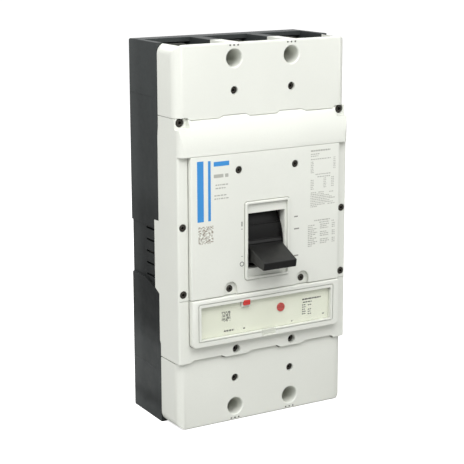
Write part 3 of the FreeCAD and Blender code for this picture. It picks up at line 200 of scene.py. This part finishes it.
# ---------------------------------------------------------------- recipes
# Pairs such as wear and wear_to are how much of an effect shows and the shade it goes to.
def moulded(name, colour, rough=0.42, grain=1500.0, grain_depth=0.00002, edge_radius=0.0004,
            cloud=0.03, speck=0.02, wear=0.25, wear_to=1.12, shade_and_dust=0.35, shade_and_dust_to=0.72,
            specular=0.5, wave_depth=0.00012):
    """Moulded plastic: spark texture, slow tone drift, soft edges, and painted shade with dust in
    the corners.
    """
    mat = Finish(name)
    base = linear(colour)
    cloudy = mat.noise(scale=14.0, detail=3.0, rough=0.55, vector=mat.mapped(scale=(1, 1, 1)))
    fine = mat.noise(scale=520.0, detail=3.0, rough=0.6)
    tint = mat.mix(mat.ramp(cloudy, span=(0.3, 0.7)),
                   shade(base, 1.0 - cloud), shade(base, 1.0 + cloud * 0.6))
    tint = mat.mix(mat.ramp(fine, span=(0.35, 0.75)),
                   tint, mat.mix(0.5, tint, shade(base, 1.0 - speck * 3)))
    edge = mat.edges(edge_radius * 1.8)
    broken = mat.ramp(mat.noise(scale=230.0, detail=4.0, rough=0.65), span=(0.42, 0.62))
    tint = mat.mix(mat.times(mat.times(edge, broken), wear), tint, shade(base, wear_to))
    # Painted shade with dust: corners darken by ambient occlusion, in noisy patches.
    corners = mat.crevices(distance=0.006)
    patches = mat.ramp(mat.noise(scale=90.0, detail=3.0, rough=0.6),
                       span=(0.25, 0.75), to=(0.35, 1.0))
    tint = mat.mix(mat.times(mat.times(corners, patches), shade_and_dust, clamp=True),
                   tint, shade(base, shade_and_dust_to))
    dullness = mat.ramp(mat.noise(scale=60.0, detail=4.0, rough=0.6),
                        span=(0.3, 0.7), to=(rough - 0.05, rough + 0.06))
    dullness = mat.math("SUBTRACT", dullness, mat.times(edge, 0.06))
    normal = mat.rounded(edge_radius)
    normal = mat.bump(mat.noise(scale=26.0, detail=1.0, rough=0.4), wave_depth, normal)
    normal = mat.bump(mat.noise(scale=grain, detail=2.0, rough=0.7), grain_depth, normal)
    mat.surface(tint, dullness, normal, specular=specular)
    return mat


def metal(name, colour, rough=0.32, brushed=(1, 1, 40), depth=0.000008, tarnish=0.25,
          tarnish_to=0.55, metallic=1.0, scale=300.0, grime_and_shade=0.5, grime_and_shade_to=0.45, reach=0.004):
    """Plated, ground or rolled metal: directional grain, tarnish, bright edges, and painted shade
    with grime in the corners.
    """
    edge_radius = 0.0003
    mat = Finish(name)
    base = linear(colour)
    grain = mat.noise(scale=scale, detail=3.0, rough=0.6, vector=mat.mapped(scale=brushed))
    blotch = mat.noise(scale=45.0, detail=4.0, rough=0.6)
    tint = mat.mix(mat.ramp(blotch, span=(0.3, 0.7)), shade(base, 0.9), shade(base, 1.05))
    spots = mat.ramp(mat.noise(scale=120.0, detail=5.0, rough=0.7), span=(0.5, 0.75))
    tint = mat.mix(mat.times(spots, tarnish), tint, shade(base, tarnish_to))
    edge = mat.edges(edge_radius * 1.6)
    tint = mat.mix(mat.times(edge, 0.5), tint, shade(base, 1.25))
    # Painted shade with grime: ambient occlusion darkens the corners.
    corners = mat.crevices(reach)
    tint = mat.mix(mat.times(corners, grime_and_shade, clamp=True), tint, shade(base, grime_and_shade_to))
    dullness = mat.ramp(grain, span=(0.25, 0.75), to=(rough - 0.08, rough + 0.12))
    mat.surface(tint, dullness, mat.bump(grain, depth, mat.rounded(edge_radius)),
                metallic=metallic)
    return mat


def vary_tone(mat, factor):
    """Scale colour and shine together by a factor that varies over the piece."""
    tint = mat.shader.inputs["Base Color"].links[0].from_socket
    scaled = mat.node("VectorMath", {0: tint, "Scale": factor}, operation="SCALE")
    mat.put("Base Color", scaled.outputs["Vector"])
    specular = mat.shader.inputs["Specular IOR Level"].default_value
    mat.put("Specular IOR Level", mat.times(factor, specular))


# Painted shade and sheen along the base: Z in metres, tone factor
BASE_TONES = (
    (-0.198, 1.20), (-0.186, 0.78), (-0.170, 1.30), (-0.160, 1.45), (-0.128, 1.28), (-0.114, 0.82),
    (-0.100, 0.52), (-0.066, 0.44), (0.020, 0.70), (0.060, 0.98), (0.200, 1.15))


def painted_base_sheen(mat):
    """Painted shade and sheen: the base is darker and duller below its side vents, brighter and
    shinier at the load end and rear edge.
    """
    length = 2 * BASE_HALF_LENGTH
    place = mat.node("SeparateXYZ", {0: mat.coord}).outputs
    unevenness = mat.noise(scale=22.0, detail=3.0, rough=0.6)
    drift = mat.times(mat.math("SUBTRACT", unevenness, 0.5), 0.022)
    z = mat.math("ADD", place["Z"], drift)
    along = mat.math("DIVIDE", mat.math("ADD", z, BASE_HALF_LENGTH), length)
    tones = mat.node("ValToRGB", {"Fac": along})
    tones.color_ramp.interpolation = "EASE"
    stops = tones.color_ramp.elements
    while len(stops) < len(BASE_TONES):
        stops.new(0.5)
    for stop, (stop_z, tone) in zip(stops, BASE_TONES):
        stop.position = (stop_z + BASE_HALF_LENGTH) / length
        # Colours are stored at half value, to keep them below 1, and doubled afterwards.
        stop.color = (tone / 2, tone / 2, tone / 2, 1.0)
    tone = mat.times(tones.outputs["Color"], 2.0)
    # Painted sheen: brighter and shinier towards the rear edge.
    rear = mat.ramp(place["Y"], span=(-0.030, -0.010), to=(0.0, 0.34))
    vary_tone(mat, mat.math("ADD", tone, rear))


def shade_front_faces(mat):
    """Painted shade: faces that look straight ahead are darkened, in colour and shine, to half of
    the others.
    """
    normal = mat.node("NewGeometry").outputs["Normal"]
    ahead = mat.node("VectorMath", {0: normal, 1: (0.0, -1.0, 0.0)}, operation="DOT_PRODUCT")
    vary_tone(mat, mat.ramp(ahead.outputs["Value"], span=(0.45, 0.9), to=(1.0, 0.5)))


def braid():
    """Woven copper braid: two crossing sets of strands, in colour and in relief."""
    mat = Finish("copper_braid")
    base = linear((190, 112, 78))
    one_way = mat.wave(scale=900, vector=mat.mapped(scale=(1, 1, 1), turn=(0.6, 0.7, 0.3)),
                       distort=1.5, detail=2.0)
    other_way = mat.wave(scale=900, vector=mat.mapped(scale=(1, 1, 1), turn=(-0.6, -0.7, 0.9)),
                         distort=1.5, detail=2.0, axis="Z")
    weave = mat.math("MAXIMUM", one_way, other_way)
    tint = mat.mix(weave, shade(base, 0.35), shade(base, 1.1))
    dark = mat.ramp(mat.noise(scale=70.0, detail=4.0), span=(0.4, 0.7))
    tint = mat.mix(dark, tint, shade(base, 0.7))
    mat.surface(tint, mat.ramp(weave, span=(0.0, 1.0), to=(0.55, 0.3)),
                mat.bump(weave, depth=0.0002), metallic=1.0)
    return mat


def fibre():
    """Vulcanised fibre board: matted, slightly mottled, with fine random fibres."""
    mat = Finish("fibre_board")
    base = linear((150, 74, 52))
    strands = mat.noise(scale=260.0, detail=6.0, rough=0.75,
                        vector=mat.mapped(scale=(1, 0.25, 1)), distort=1.4)
    tint = mat.mix(mat.ramp(strands, span=(0.35, 0.65)), shade(base, 0.72), shade(base, 1.15))
    tint = mat.mix(mat.times(mat.edges(radius=0.0006), 0.5), tint, shade(base, 1.5))
    mat.surface(tint, mat.ramp(strands, span=(0.3, 0.7), to=(0.6, 0.82)),
                mat.bump(strands, depth=0.00008, normal=mat.rounded(radius=0.0003)))
    return mat


def circuit():
    """Circuit board: green mask, thin traces showing through, plated dots."""
    mat = Finish("circuit_board")
    base = linear((24, 92, 58))
    plated, bare_edge = linear((196, 190, 150)), linear((150, 140, 96))
    traces = mat.ramp(mat.wave(scale=95, vector=mat.mapped(scale=(1, 1, 0.6)), distort=5.0,
                               detail=2.0), span=(0.72, 0.8))
    spots = mat.ramp(mat.voronoi(scale=210.0), span=(0.22, 0.16))
    tint = mat.mix(mat.times(traces, 0.6), base, shade(base, 1.7))
    tint = mat.mix(mat.times(spots, 0.8), tint, plated)
    tint = mat.mix(mat.times(mat.edges(radius=0.0006), 0.7), tint, bare_edge)
    dullness = mat.ramp(mat.noise(scale=90.0, detail=3.0), span=(0.3, 0.7), to=(0.28, 0.42))
    mat.surface(tint, dullness,
                mat.bump(traces, depth=0.00004, normal=mat.rounded(radius=0.0002)))
    return mat


def clear():
    """Thin clear window: light passes straight through, with a faint sheen and greyer edges."""
    clean, hazy, grey = (0.985, 0.988, 0.978, 1), (0.97, 0.974, 0.96, 1), (0.62, 0.63, 0.60, 1)
    mat = Finish("window_clear")
    edge = mat.edges(radius=0.0006)
    haze = mat.ramp(mat.noise(scale=40.0, detail=4.0, rough=0.6), span=(0.35, 0.7))
    tint = mat.mix(mat.times(edge, 0.55), mat.mix(haze, clean, hazy), grey)
    through = mat.node("BsdfTransparent", {"Color": tint})
    scratches = mat.noise(scale=300.0, detail=4.0, rough=0.7, vector=mat.mapped(scale=(1, 1, 9)))
    mat.surface((0.86, 0.87, 0.84, 1.0), mat.ramp(scratches, span=(0.4, 0.7), to=(0.05, 0.16)),
                mat.bump(mat.noise(scale=30.0, detail=2.0, rough=0.5), depth=0.00002))
    # Shadow and diffuse rays get no sheen, so that light reaches what lies behind.
    fresnel = mat.node("Fresnel", {"IOR": 1.4}).outputs["Fac"]
    ray = mat.node("LightPath").outputs
    unseen = mat.math("MAXIMUM", ray["Is Shadow Ray"], ray["Is Diffuse Ray"])
    lit = mat.math("SUBTRACT", 1.0, unseen)
    sheen = mat.times(mat.times(fresnel, 0.8), lit, clamp=True)
    mat.show(mat.node("MixShader", {0: sheen, 1: through.outputs["BSDF"],
                                    2: mat.shader.outputs["BSDF"]}).outputs["Shader"])
    return mat


def ink(name, colour, rough=0.5, wear=0.35, wear_to=1.25):
    """Screen-printed ink: thin, slightly uneven, worn through a little in places."""
    mat = Finish(name)
    base = linear(colour)
    worn = mat.noise(scale=420.0, detail=5.0, rough=0.7)
    tint = mat.mix(mat.times(mat.ramp(worn, span=(0.48, 0.72)), wear), base, shade(base, wear_to))
    tint = mat.mix(mat.ramp(mat.noise(scale=60.0, detail=2.0), span=(0.3, 0.7)),
                   tint, mat.mix(0.5, tint, shade(base, 0.94)))
    mat.surface(tint, mat.ramp(worn, span=(0.3, 0.7), to=(rough - 0.06, rough + 0.08)),
                mat.bump(mat.noise(scale=1500.0, detail=2.0), depth=0.000012))
    return mat


# ---------------------------------------------------------------- finishes by slot
# In the moulded finishes, the corner darkening amounts are painted shade with dust.
FINISHES = {
    "cover_light": moulded(
        "cover_plastic", (228, 230, 222), rough=0.46, grain=1700, grain_depth=0.000022,
        edge_radius=0.0006, cloud=0.018, speck=0.010, wear=0.35, wear_to=1.05, shade_and_dust=0.55,
        shade_and_dust_to=0.70, specular=0.42),
    "base_black": moulded(
        "base_thermoset", (42, 46, 46), rough=0.52, grain=1100, grain_depth=0.00004,
        edge_radius=0.0006, cloud=0.24, speck=0.05, wear=0.5, wear_to=2.0, shade_and_dust=0.45,
        shade_and_dust_to=0.4, specular=0.4, wave_depth=0.0003),
    "handle_black": moulded(
        "handle_thermoset", (20, 20, 19), rough=0.40, grain_depth=0.00003, edge_radius=0.0006,
        cloud=0.08, speck=0.04, wear=0.6, wear_to=2.0, shade_and_dust=0.3, shade_and_dust_to=0.5),
    "inner_plastic": moulded(
        "inner_plastic", (96, 92, 84), rough=0.55, grain=900, grain_depth=0.00004,
        cloud=0.10, speck=0.06, wear=0.3, wear_to=1.3),
    "red_plastic": moulded(
        "red_plastic", (205, 58, 52), rough=0.34, grain=1800, grain_depth=0.000012,
        cloud=0.04, wear=0.3, wear_to=1.25, shade_and_dust=0.3, shade_and_dust_to=0.6),
    "label_cream": moulded(
        "label_film", (240, 242, 228), rough=0.55, grain=2600, grain_depth=0.000008,
        edge_radius=0.0002, cloud=0.015, wear=0.1, wear_to=0.95, shade_and_dust=0.06, shade_and_dust_to=0.8,
        specular=0.3, wave_depth=0.00006),
    # Painted shade: the occlusion mask darkens the screw sockets and rim grooves almost to black.
    "screw_black": metal(
        "black_oxide_screw", (92, 89, 83), rough=0.36, brushed=(1, 1, 1), depth=0.00002,
        tarnish=0.3, metallic=0.9, scale=900.0, grime_and_shade=1.3, grime_and_shade_to=0.06, reach=0.0022),
    "steel_plate": metal("zinc_plated_sheet", (176, 176, 168), rough=0.34, brushed=(1, 30, 1)),
    "steel_pin": metal("ground_steel_pin", (150, 152, 156), rough=0.22, brushed=(30, 1, 1),
                       tarnish=0.15),
    "spring_steel": metal("spring_wire", (96, 98, 104), rough=0.28, brushed=(1, 1, 1), scale=700),
    "copper": metal("rolled_copper", (196, 118, 84), rough=0.3, brushed=(1, 1, 30), tarnish=0.5,
                    tarnish_to=0.5),
    "tin": metal("tin_plated_copper", (112, 112, 108), rough=0.46, brushed=(1, 1, 20),
                 tarnish=0.55, tarnish_to=0.45),
    "silver_contact": metal("silver_alloy", (212, 208, 198), rough=0.3, brushed=(1, 1, 1),
                            tarnish=0.35),
    "copper_braid": braid(),
    "fibre_board": fibre(),
    "board_green": circuit(),
    "clear_window": clear(),
}
# Painted shade and sheen along the base.
painted_base_sheen(FINISHES["base_black"])
# Painted shade on the handle's front-facing faces.
shade_front_faces(FINISHES["handle_black"])
INK_BLUE = ink("ink_blue", (58, 142, 210), rough=0.45, wear_to=1.12)
INK_DARK = ink("ink_dark_grey", (92, 92, 88))
INK_GREY = ink("ink_mid_grey", (142, 141, 134))
INK_PALE = ink("ink_pale_grey", (176, 177, 169), wear=0.5, wear_to=1.15)

# These nodes take a finish other than their slot's.
FINISH_OF_NODE = {"line_conductors": "tin", "load_conductors": "tin"}
SLOT_OF_NODE = {part["node"]: part["material_slot"] for part in frame["record"]["subparts"]}


def smooth_group():
    """Modifier that welds coincident points and smooths curved faces but not real edges."""
    group = bpy.data.node_groups.new("smooth_by_angle", "GeometryNodeTree")
    for side in ("INPUT", "OUTPUT"):
        group.interface.new_socket("Geometry", in_out=side, socket_type="NodeSocketGeometry")
    start, end = add_node(group, "NodeGroupInput"), add_node(group, "NodeGroupOutput")
    weld = add_node(group, "GeometryNodeMergeByDistance",
                    {"Geometry": start.outputs[0], "Distance": WELD_DISTANCE})
    faces = add_node(group, "GeometryNodeSetShadeSmooth",
                     {"Geometry": weld.outputs["Geometry"], "Shade Smooth": True}, domain="FACE")
    angle = add_node(group, "GeometryNodeInputMeshEdgeAngle").outputs["Unsigned Angle"]
    gentle = add_node(group, "FunctionNodeCompare", {0: angle, 1: math.radians(SMOOTH_ANGLE)},
                      data_type="FLOAT", operation="LESS_THAN")
    edges = add_node(group, "GeometryNodeSetShadeSmooth",
                     {"Geometry": faces.outputs["Geometry"],
                      "Shade Smooth": gentle.outputs["Result"]}, domain="EDGE")
    feed(group, end.inputs[0], edges.outputs["Geometry"])
    return group


SMOOTH = smooth_group()
for name, piece in NODES.items():
    finish = FINISHES[FINISH_OF_NODE.get(name) or SLOT_OF_NODE[name]]
    if not piece.material_slots:
        piece.data.materials.append(finish.material)
    for slot in piece.material_slots:
        slot.link = "OBJECT"
        slot.material = finish.material
    piece.modifiers.new("smooth", "NODES").node_group = SMOOTH


# ------------------------------------------------------ print shapes, in mm
rng = random.Random(PRINT_SEED)


def rounded_rect(x0, x1, z0, z1, radius=0.3, steps=4):
    """Outline of a rounded rectangle in X and Z."""
    radius = min(radius, (x1 - x0) / 2 - 1e-3, (z1 - z0) / 2 - 1e-3)
    corners = ((x1 - radius, z1 - radius, 0), (x0 + radius, z1 - radius, 90),
               (x0 + radius, z0 + radius, 180), (x1 - radius, z0 + radius, 270))
    outline = []
    for x, z, start in corners:
        for i in range(steps + 1):
            angle = math.radians(start + 90.0 * i / steps)
            outline.append((x + radius * math.cos(angle), z + radius * math.sin(angle)))
    return outline


def bars(*rows):
    """Rounded rectangles from rows of x0, x1, z0, z1, corner radius."""
    return [rounded_rect(*row) for row in rows]


def ring(x, z, outer, inner, count=40):
    """An annulus as a tuple of outer and inner outlines."""
    angles = [2 * math.pi * i / count for i in range(count)]
    return tuple([(x + radius * math.cos(angle), z + radius * math.sin(angle)) for angle in angles]
                 for radius in (outer, inner))


def words(x0, x1, z, height, shortest=0.8, longest=2.6, gap=0.55):
    """A line of print reduced to plain bars, so that it holds no letters."""
    out, x = [], x0
    while x < x1 - 0.5:
        width = min(rng.uniform(shortest, longest), x1 - x)
        out.append(rounded_rect(x, x + width, z - height / 2, z + height / 2, height * 0.35, 2))
        x += width + gap
    return out


def lines(*rows):
    """Lines of words, from rows of the arguments of words()."""
    return [bar for row in rows for bar in words(*row)]


def dots(x0, x1, z0, z1, columns, rows, fill=0.55):
    """A patch of random dots and dashes. It follows no code standard and holds no data."""
    margin = 0.04
    out = []
    dx, dz = (x1 - x0) / columns, (z1 - z0) / rows
    for j in range(rows):
        i = 0
        while i < columns:
            if rng.random() < fill:
                end = i + 1
                while end < columns and rng.random() < fill * 0.8:
                    end += 1
                out.append(rounded_rect(x0 + i * dx + margin, x0 + end * dx - margin,
                                        z0 + j * dz + margin, z0 + (j + 1) * dz - margin,
                                        0.06, 1))
                i = end + 1
            else:
                i += 1
    return out


def add_prism(builder, shape, front_y, back_y):
    """Close one outline, or an (outer, inner) pair of outlines, into a prism along Y."""
    hollow = isinstance(shape, tuple)
    loops = [[builder.verts.new((x * MM, y, z * MM)) for x, z in outline]
             for outline in (shape if hollow else (shape,)) for y in (front_y, back_y)]
    front, back = loops[:2]
    add_face = builder.faces.new
    if not hollow:
        add_face(front)
        add_face(list(reversed(back)))
    for i in range(len(front)):
        j = (i + 1) % len(front)
        if hollow:
            hole_front, hole_back = loops[2:]
            add_face((front[i], front[j], hole_front[j], hole_front[i]))
            add_face((back[j], back[i], hole_back[i], hole_back[j]))
        add_face((front[j], front[i], back[i], back[j]))
        if hollow:
            add_face((hole_front[i], hole_front[j], hole_back[j], hole_back[i]))


def printed(name, shapes, y, mat):
    """Closed prisms standing slightly proud of a face that looks along -Y."""
    builder = bmesh.new()
    for shape in shapes:
        add_prism(builder, shape, (y - INK_RISE) * MM, (y + INK_SUNK) * MM)
    bmesh.ops.recalc_face_normals(builder, faces=builder.faces)
    made = add_mesh(name, builder, mat)
    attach(made, "breaker")


def front_of(node):
    """Y of a node's front face, in mm."""
    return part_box(node)[0].y / MM


# ------------------------------------------------------------- printed areas
def print_panel(y):
    """Bars, small lines, a dot patch and marks round the handle."""
    printed("print_blue_bars", bars(
        (-84.6, -77.0, 22.1, 85.3, 0.25), (-71.8, -68.6, 22.2, 84.9, 0.2),
        (-65.0, -46.5, 78.6, 83.4, 0.3)), y, INK_BLUE)
    printed("print_header_bars", bars(
        (-65.0, -53.5, 66.6, 70.2, 0.4), (-51.5, -47.5, 66.6, 70.2, 0.4)), y, INK_PALE)
    small = []
    for z, x0, x1 in ((59.0, -63.0, -48.0), (55.6, -63.0, -51.0),
                      (48.0, -64.5, -50.0), (44.6, -64.5, -47.0)):
        small += words(x0, x1, z, 1.3, 1.2, 4.0, 0.7)
    printed("print_small_lines", small, y, INK_PALE)
    taupe = ink("ink_taupe", (158, 151, 138), rough=0.55, wear=0.4, wear_to=1.2)
    printed("print_dot_patch", dots(-83.5, -65.8, -1.4, 17.1, 15, 16), y, taupe)
    marks = bars((-31.75, -30.65, 12.2, 17.2, 0.2))
    marks.append(ring(-31.3, -28.3, outer=2.6, inner=1.85))
    marks += bars((-31.9, -30.5, 8.9, 9.6, 0.2), (-31.9, -30.5, -20.4, -19.8, 0.2))
    printed("print_handle_marks", marks, y, INK_DARK)
    printed("print_position_marks", bars(
        (34.0, 38.6, 14.5, 15.9), (34.0, 40.4, 1.1, 2.5), (34.0, 39.6, -28.3, -26.9)),
        y, INK_GREY)


def print_rating_tables(y):
    """Two tables of plain bars at the +X side of the panel."""
    pitch, height = 1.9, 0.95
    upper = lines(
        (54.8, 80.0, 84.0, 1.7, 2.0, 4.5, 0.35),
        (54.8, 66.0, 80.4, 1.0), (54.8, 64.5, 78.2, 1.0), (54.8, 80.5, 74.8, 1.0),
        (61.0, 81.0, 58.2, 1.0), (63.5, 80.0, 55.4, 1.0), (55.0, 63.0, 38.6, 1.0),
        (65.0, 72.0, 38.6, 1.0), (79.0, 84.5, 38.0, 1.0))
    for i in range(7):
        z = 72.0 - pitch * i
        upper += lines((54.8, 58.6, z, height), (84.2, 86.9, z + 3.0, height, 1.2, 2.7))
    for i in range(6):
        z = 52.2 - pitch * i
        upper += lines((54.8, 58.8, z, height), (71.5, 75.0, z + 1.0, height, 1.0, 2.0),
                       (81.6, 85.0, z + 1.5, height, 1.0, 2.0))
    for i, x1 in enumerate((72.0, 79.0, 82.5, 76.0, 80.0, 84.0, 74.0, 63.0)):
        upper += words(54.8, x1, 36.6 - pitch * i, height)
    upper += lines((77.0, 86.4, 31.2, 1.0), (77.0, 86.4, 25.0, 1.0))
    printed("print_rating_table_upper", upper, y, INK_PALE)

    lower = lines((60.0, 80.5, 7.8, 1.2, 1.6, 4.0), (66.5, 79.5, 5.3, 1.1),
                  (82.5, 86.9, 5.6, 1.0))
    for i in range(12):
        z = 2.9 - 2.05 * i
        lower += words(51.8, (61.5, 58.0, 63.5, 60.0, 64.0)[i % 5], z, 1.0, 1.2, 3.2)
        if i % 4 != 3:
            lower += lines((67.5, (79.5, 76.0, 78.5)[i % 3], z, 1.0, 1.4, 3.6),
                           (83.0, 86.9, z, 1.0, 1.2, 2.7))
    printed("print_rating_table_lower", lower, y, INK_PALE)


def print_trip_label(y):
    """Dot patch and lines on the trip unit label."""
    patch = dots(-54.5, -44.0, -89.0, -78.0, 11, 11, fill=0.6)
    printed("print_trip_patch", patch, y, ink("ink_patch", (120, 121, 114)))
    shapes = words(-52.0, -39.5, -99.4, 1.9, 1.4, 3.0, 0.6)
    shapes += bars((-28.2, -25.8, -100.4, -99.0, 0.3))
    shapes += lines((47.0, 71.5, -79.0, 1.7, 2.2, 5.0, 0.4), (48.0, 59.5, -82.4, 1.3, 1.5, 3.2))
    for i in range(5):
        z = -85.2 - 2.5 * i
        shapes += words(47.0, 51.8, z, 1.2, 1.2, 2.4)
        if i != 1:
            shapes += words(54.5, 59.0, z - 0.8, 1.2, 1.2, 2.4)
    shapes += bars((33.0, 34.6, -101.6, -100.4, 0.2), (73.5, 76.0, -99.0, -97.8, 0.2))
    printed("print_trip_lines", shapes, y, INK_DARK)


def print_pole_marks(y):
    """Dark fill of the small recessed marks, in threes at both ends."""
    group_x, mark_z, pitch = 35.0, 200.3, 4.7
    half_width, half_height = 0.92, 0.82
    marks = []
    for centre in (-group_x, group_x):
        for z in (mark_z, -mark_z):
            for offset in (-pitch, 0.0, pitch):
                x = centre + offset
                marks.append(rounded_rect(x - half_width, x + half_width,
                                          z - half_height, z + half_height, 0.1, 2))
    printed("print_pole_marks", marks, y, INK_DARK)


MARK_RECESS = 0.7   # mm behind the front of the terminal cover
print_panel(front_of("accessory_cover"))
print_rating_tables(front_of("accessory_cover"))
print_trip_label(front_of("trip_label_plate"))
print_pole_marks(front_of("line_terminal_cover") + MARK_RECESS)


# ------------------------------------------------------------- floor, light, camera
def floor():
    """One large pale sheet, bright enough to the camera to run into the surroundings."""
    builder = bmesh.new()
    rows = [[builder.verts.new((x, y, CAD_LO.z)) for x in (-20.0, -2.0, 0.0, 2.0, 20.0)]
            for y in (-8.0, -1.0, 1.0, 30.0)]
    for near, far in zip(rows, rows[1:]):
        for i in range(4):
            builder.faces.new((near[i], near[i + 1], far[i + 1], far[i]))
    mat = Finish("studio_floor")
    seen = mat.node("LightPath").outputs["Is Camera Ray"]
    tone = mat.mix(mat.noise(scale=3.0, detail=3.0),
                   (0.90, 0.90, 0.895, 1), (0.93, 0.93, 0.925, 1))
    mat.surface(mat.mix(seen, (0.45, 0.45, 0.445, 1), tone), 0.9,
                mat.bump(mat.noise(scale=180.0, detail=3.0), depth=0.0001), specular=0.1)
    mat.put("Emission Color", (1, 1, 1, 1))
    mat.put("Emission Strength", mat.times(seen, 0.6))
    add_mesh("studio_floor", builder, mat)


def area(name, place, target, size, power):
    """A square soft light aimed at a point."""
    light = bpy.data.lights.new(name, "AREA")
    light.shape = "RECTANGLE"
    light.size = light.size_y = size
    light.energy = power
    lamp = bpy.data.objects.new(name, light)
    lamp.location = place
    aim = Vector(target) - Vector(place)
    lamp.rotation_euler = aim.to_track_quat("-Z", "Y").to_euler()
    bpy.context.scene.collection.objects.link(lamp)


def studio_world():
    """White to the camera, nearly so in reflections, and otherwise a soft light from above."""
    world = bpy.data.worlds.new("studio")
    bpy.context.scene.world = world
    world.use_nodes = True
    tree = world.node_tree
    tree.nodes.clear()
    white = {"Color": (1, 1, 1, 1)}
    output = add_node(tree, "ShaderNodeOutputWorld")
    seen = add_node(tree, "ShaderNodeBackground", {**white, "Strength": 1.0})
    light = add_node(tree, "ShaderNodeBackground", white)
    coord = add_node(tree, "ShaderNodeTexCoord")
    place = add_node(tree, "ShaderNodeSeparateXYZ", {0: coord.outputs["Generated"]})
    strength = add_node(tree, "ShaderNodeMapRange",
                        {"Value": place.outputs["Z"], "From Min": -0.3, "From Max": 0.9,
                         "To Min": 0.08, "To Max": 0.61})
    feed(tree, light.inputs["Strength"], strength.outputs["Result"])
    ray = add_node(tree, "ShaderNodeLightPath").outputs
    share = add_node(tree, "ShaderNodeMath",
                     {0: ray["Is Glossy Ray"], 1: 0.8, 2: ray["Is Camera Ray"]},
                     operation="MULTIPLY_ADD", use_clamp=True)
    mixed = add_node(tree, "ShaderNodeMixShader",
                     {0: share.outputs[0], 1: light.outputs[0], 2: seen.outputs[0]})
    feed(tree, output.inputs["Surface"], mixed.outputs[0])


def camera():
    """A long lens in front of the breaker, to its -X side and slightly above."""
    azimuth, elevation, roll = (math.radians(v) for v in (-31.04, 12.78, -0.16))
    back = Vector((math.sin(azimuth) * math.cos(elevation),
                   -math.cos(azimuth) * math.cos(elevation), math.sin(elevation)))
    level = Vector((0, 0, 1)).cross(back).normalized()
    upright = back.cross(level)
    right = level * math.cos(roll) + upright * math.sin(roll)
    up = -level * math.sin(roll) + upright * math.cos(roll)
    lens = bpy.data.cameras.new("camera")
    lens.sensor_width = 36.0
    lens.lens = 111.955
    lens.clip_start, lens.clip_end = 0.05, 30.0
    made = bpy.data.objects.new("camera", lens)
    bpy.context.scene.collection.objects.link(made)
    made.rotation_mode = "QUATERNION"
    made.rotation_quaternion = Matrix((right, up, back)).transposed().to_quaternion()
    made.location = (-0.79829, -1.37081, 0.33974)
    bpy.context.scene.camera = made


floor()
# name, place, target, side in metres, power in watts
for row in (("soft_top", (-0.05, -0.85, 1.0), (0, -0.05, 0.1), 0.8, 10.2),
            ("soft_left", (-1.3, -0.6, 1.1), (0, -0.05, 0.05), 1.1, 17.0),
            ("soft_right", (1.5, -1.4, 0.8), (0, -0.05, 0.05), 1.2, 4.5),
            ("soft_back", (-0.3, 1.3, 1.4), (0, 0, 0.1), 1.2, 9.0)):
    area(*row)
studio_world()
camera()

view = bpy.context.scene.view_settings
view.view_transform = "Standard"
view.look = "None"
view.exposure = 0.0
view.gamma = 1.0
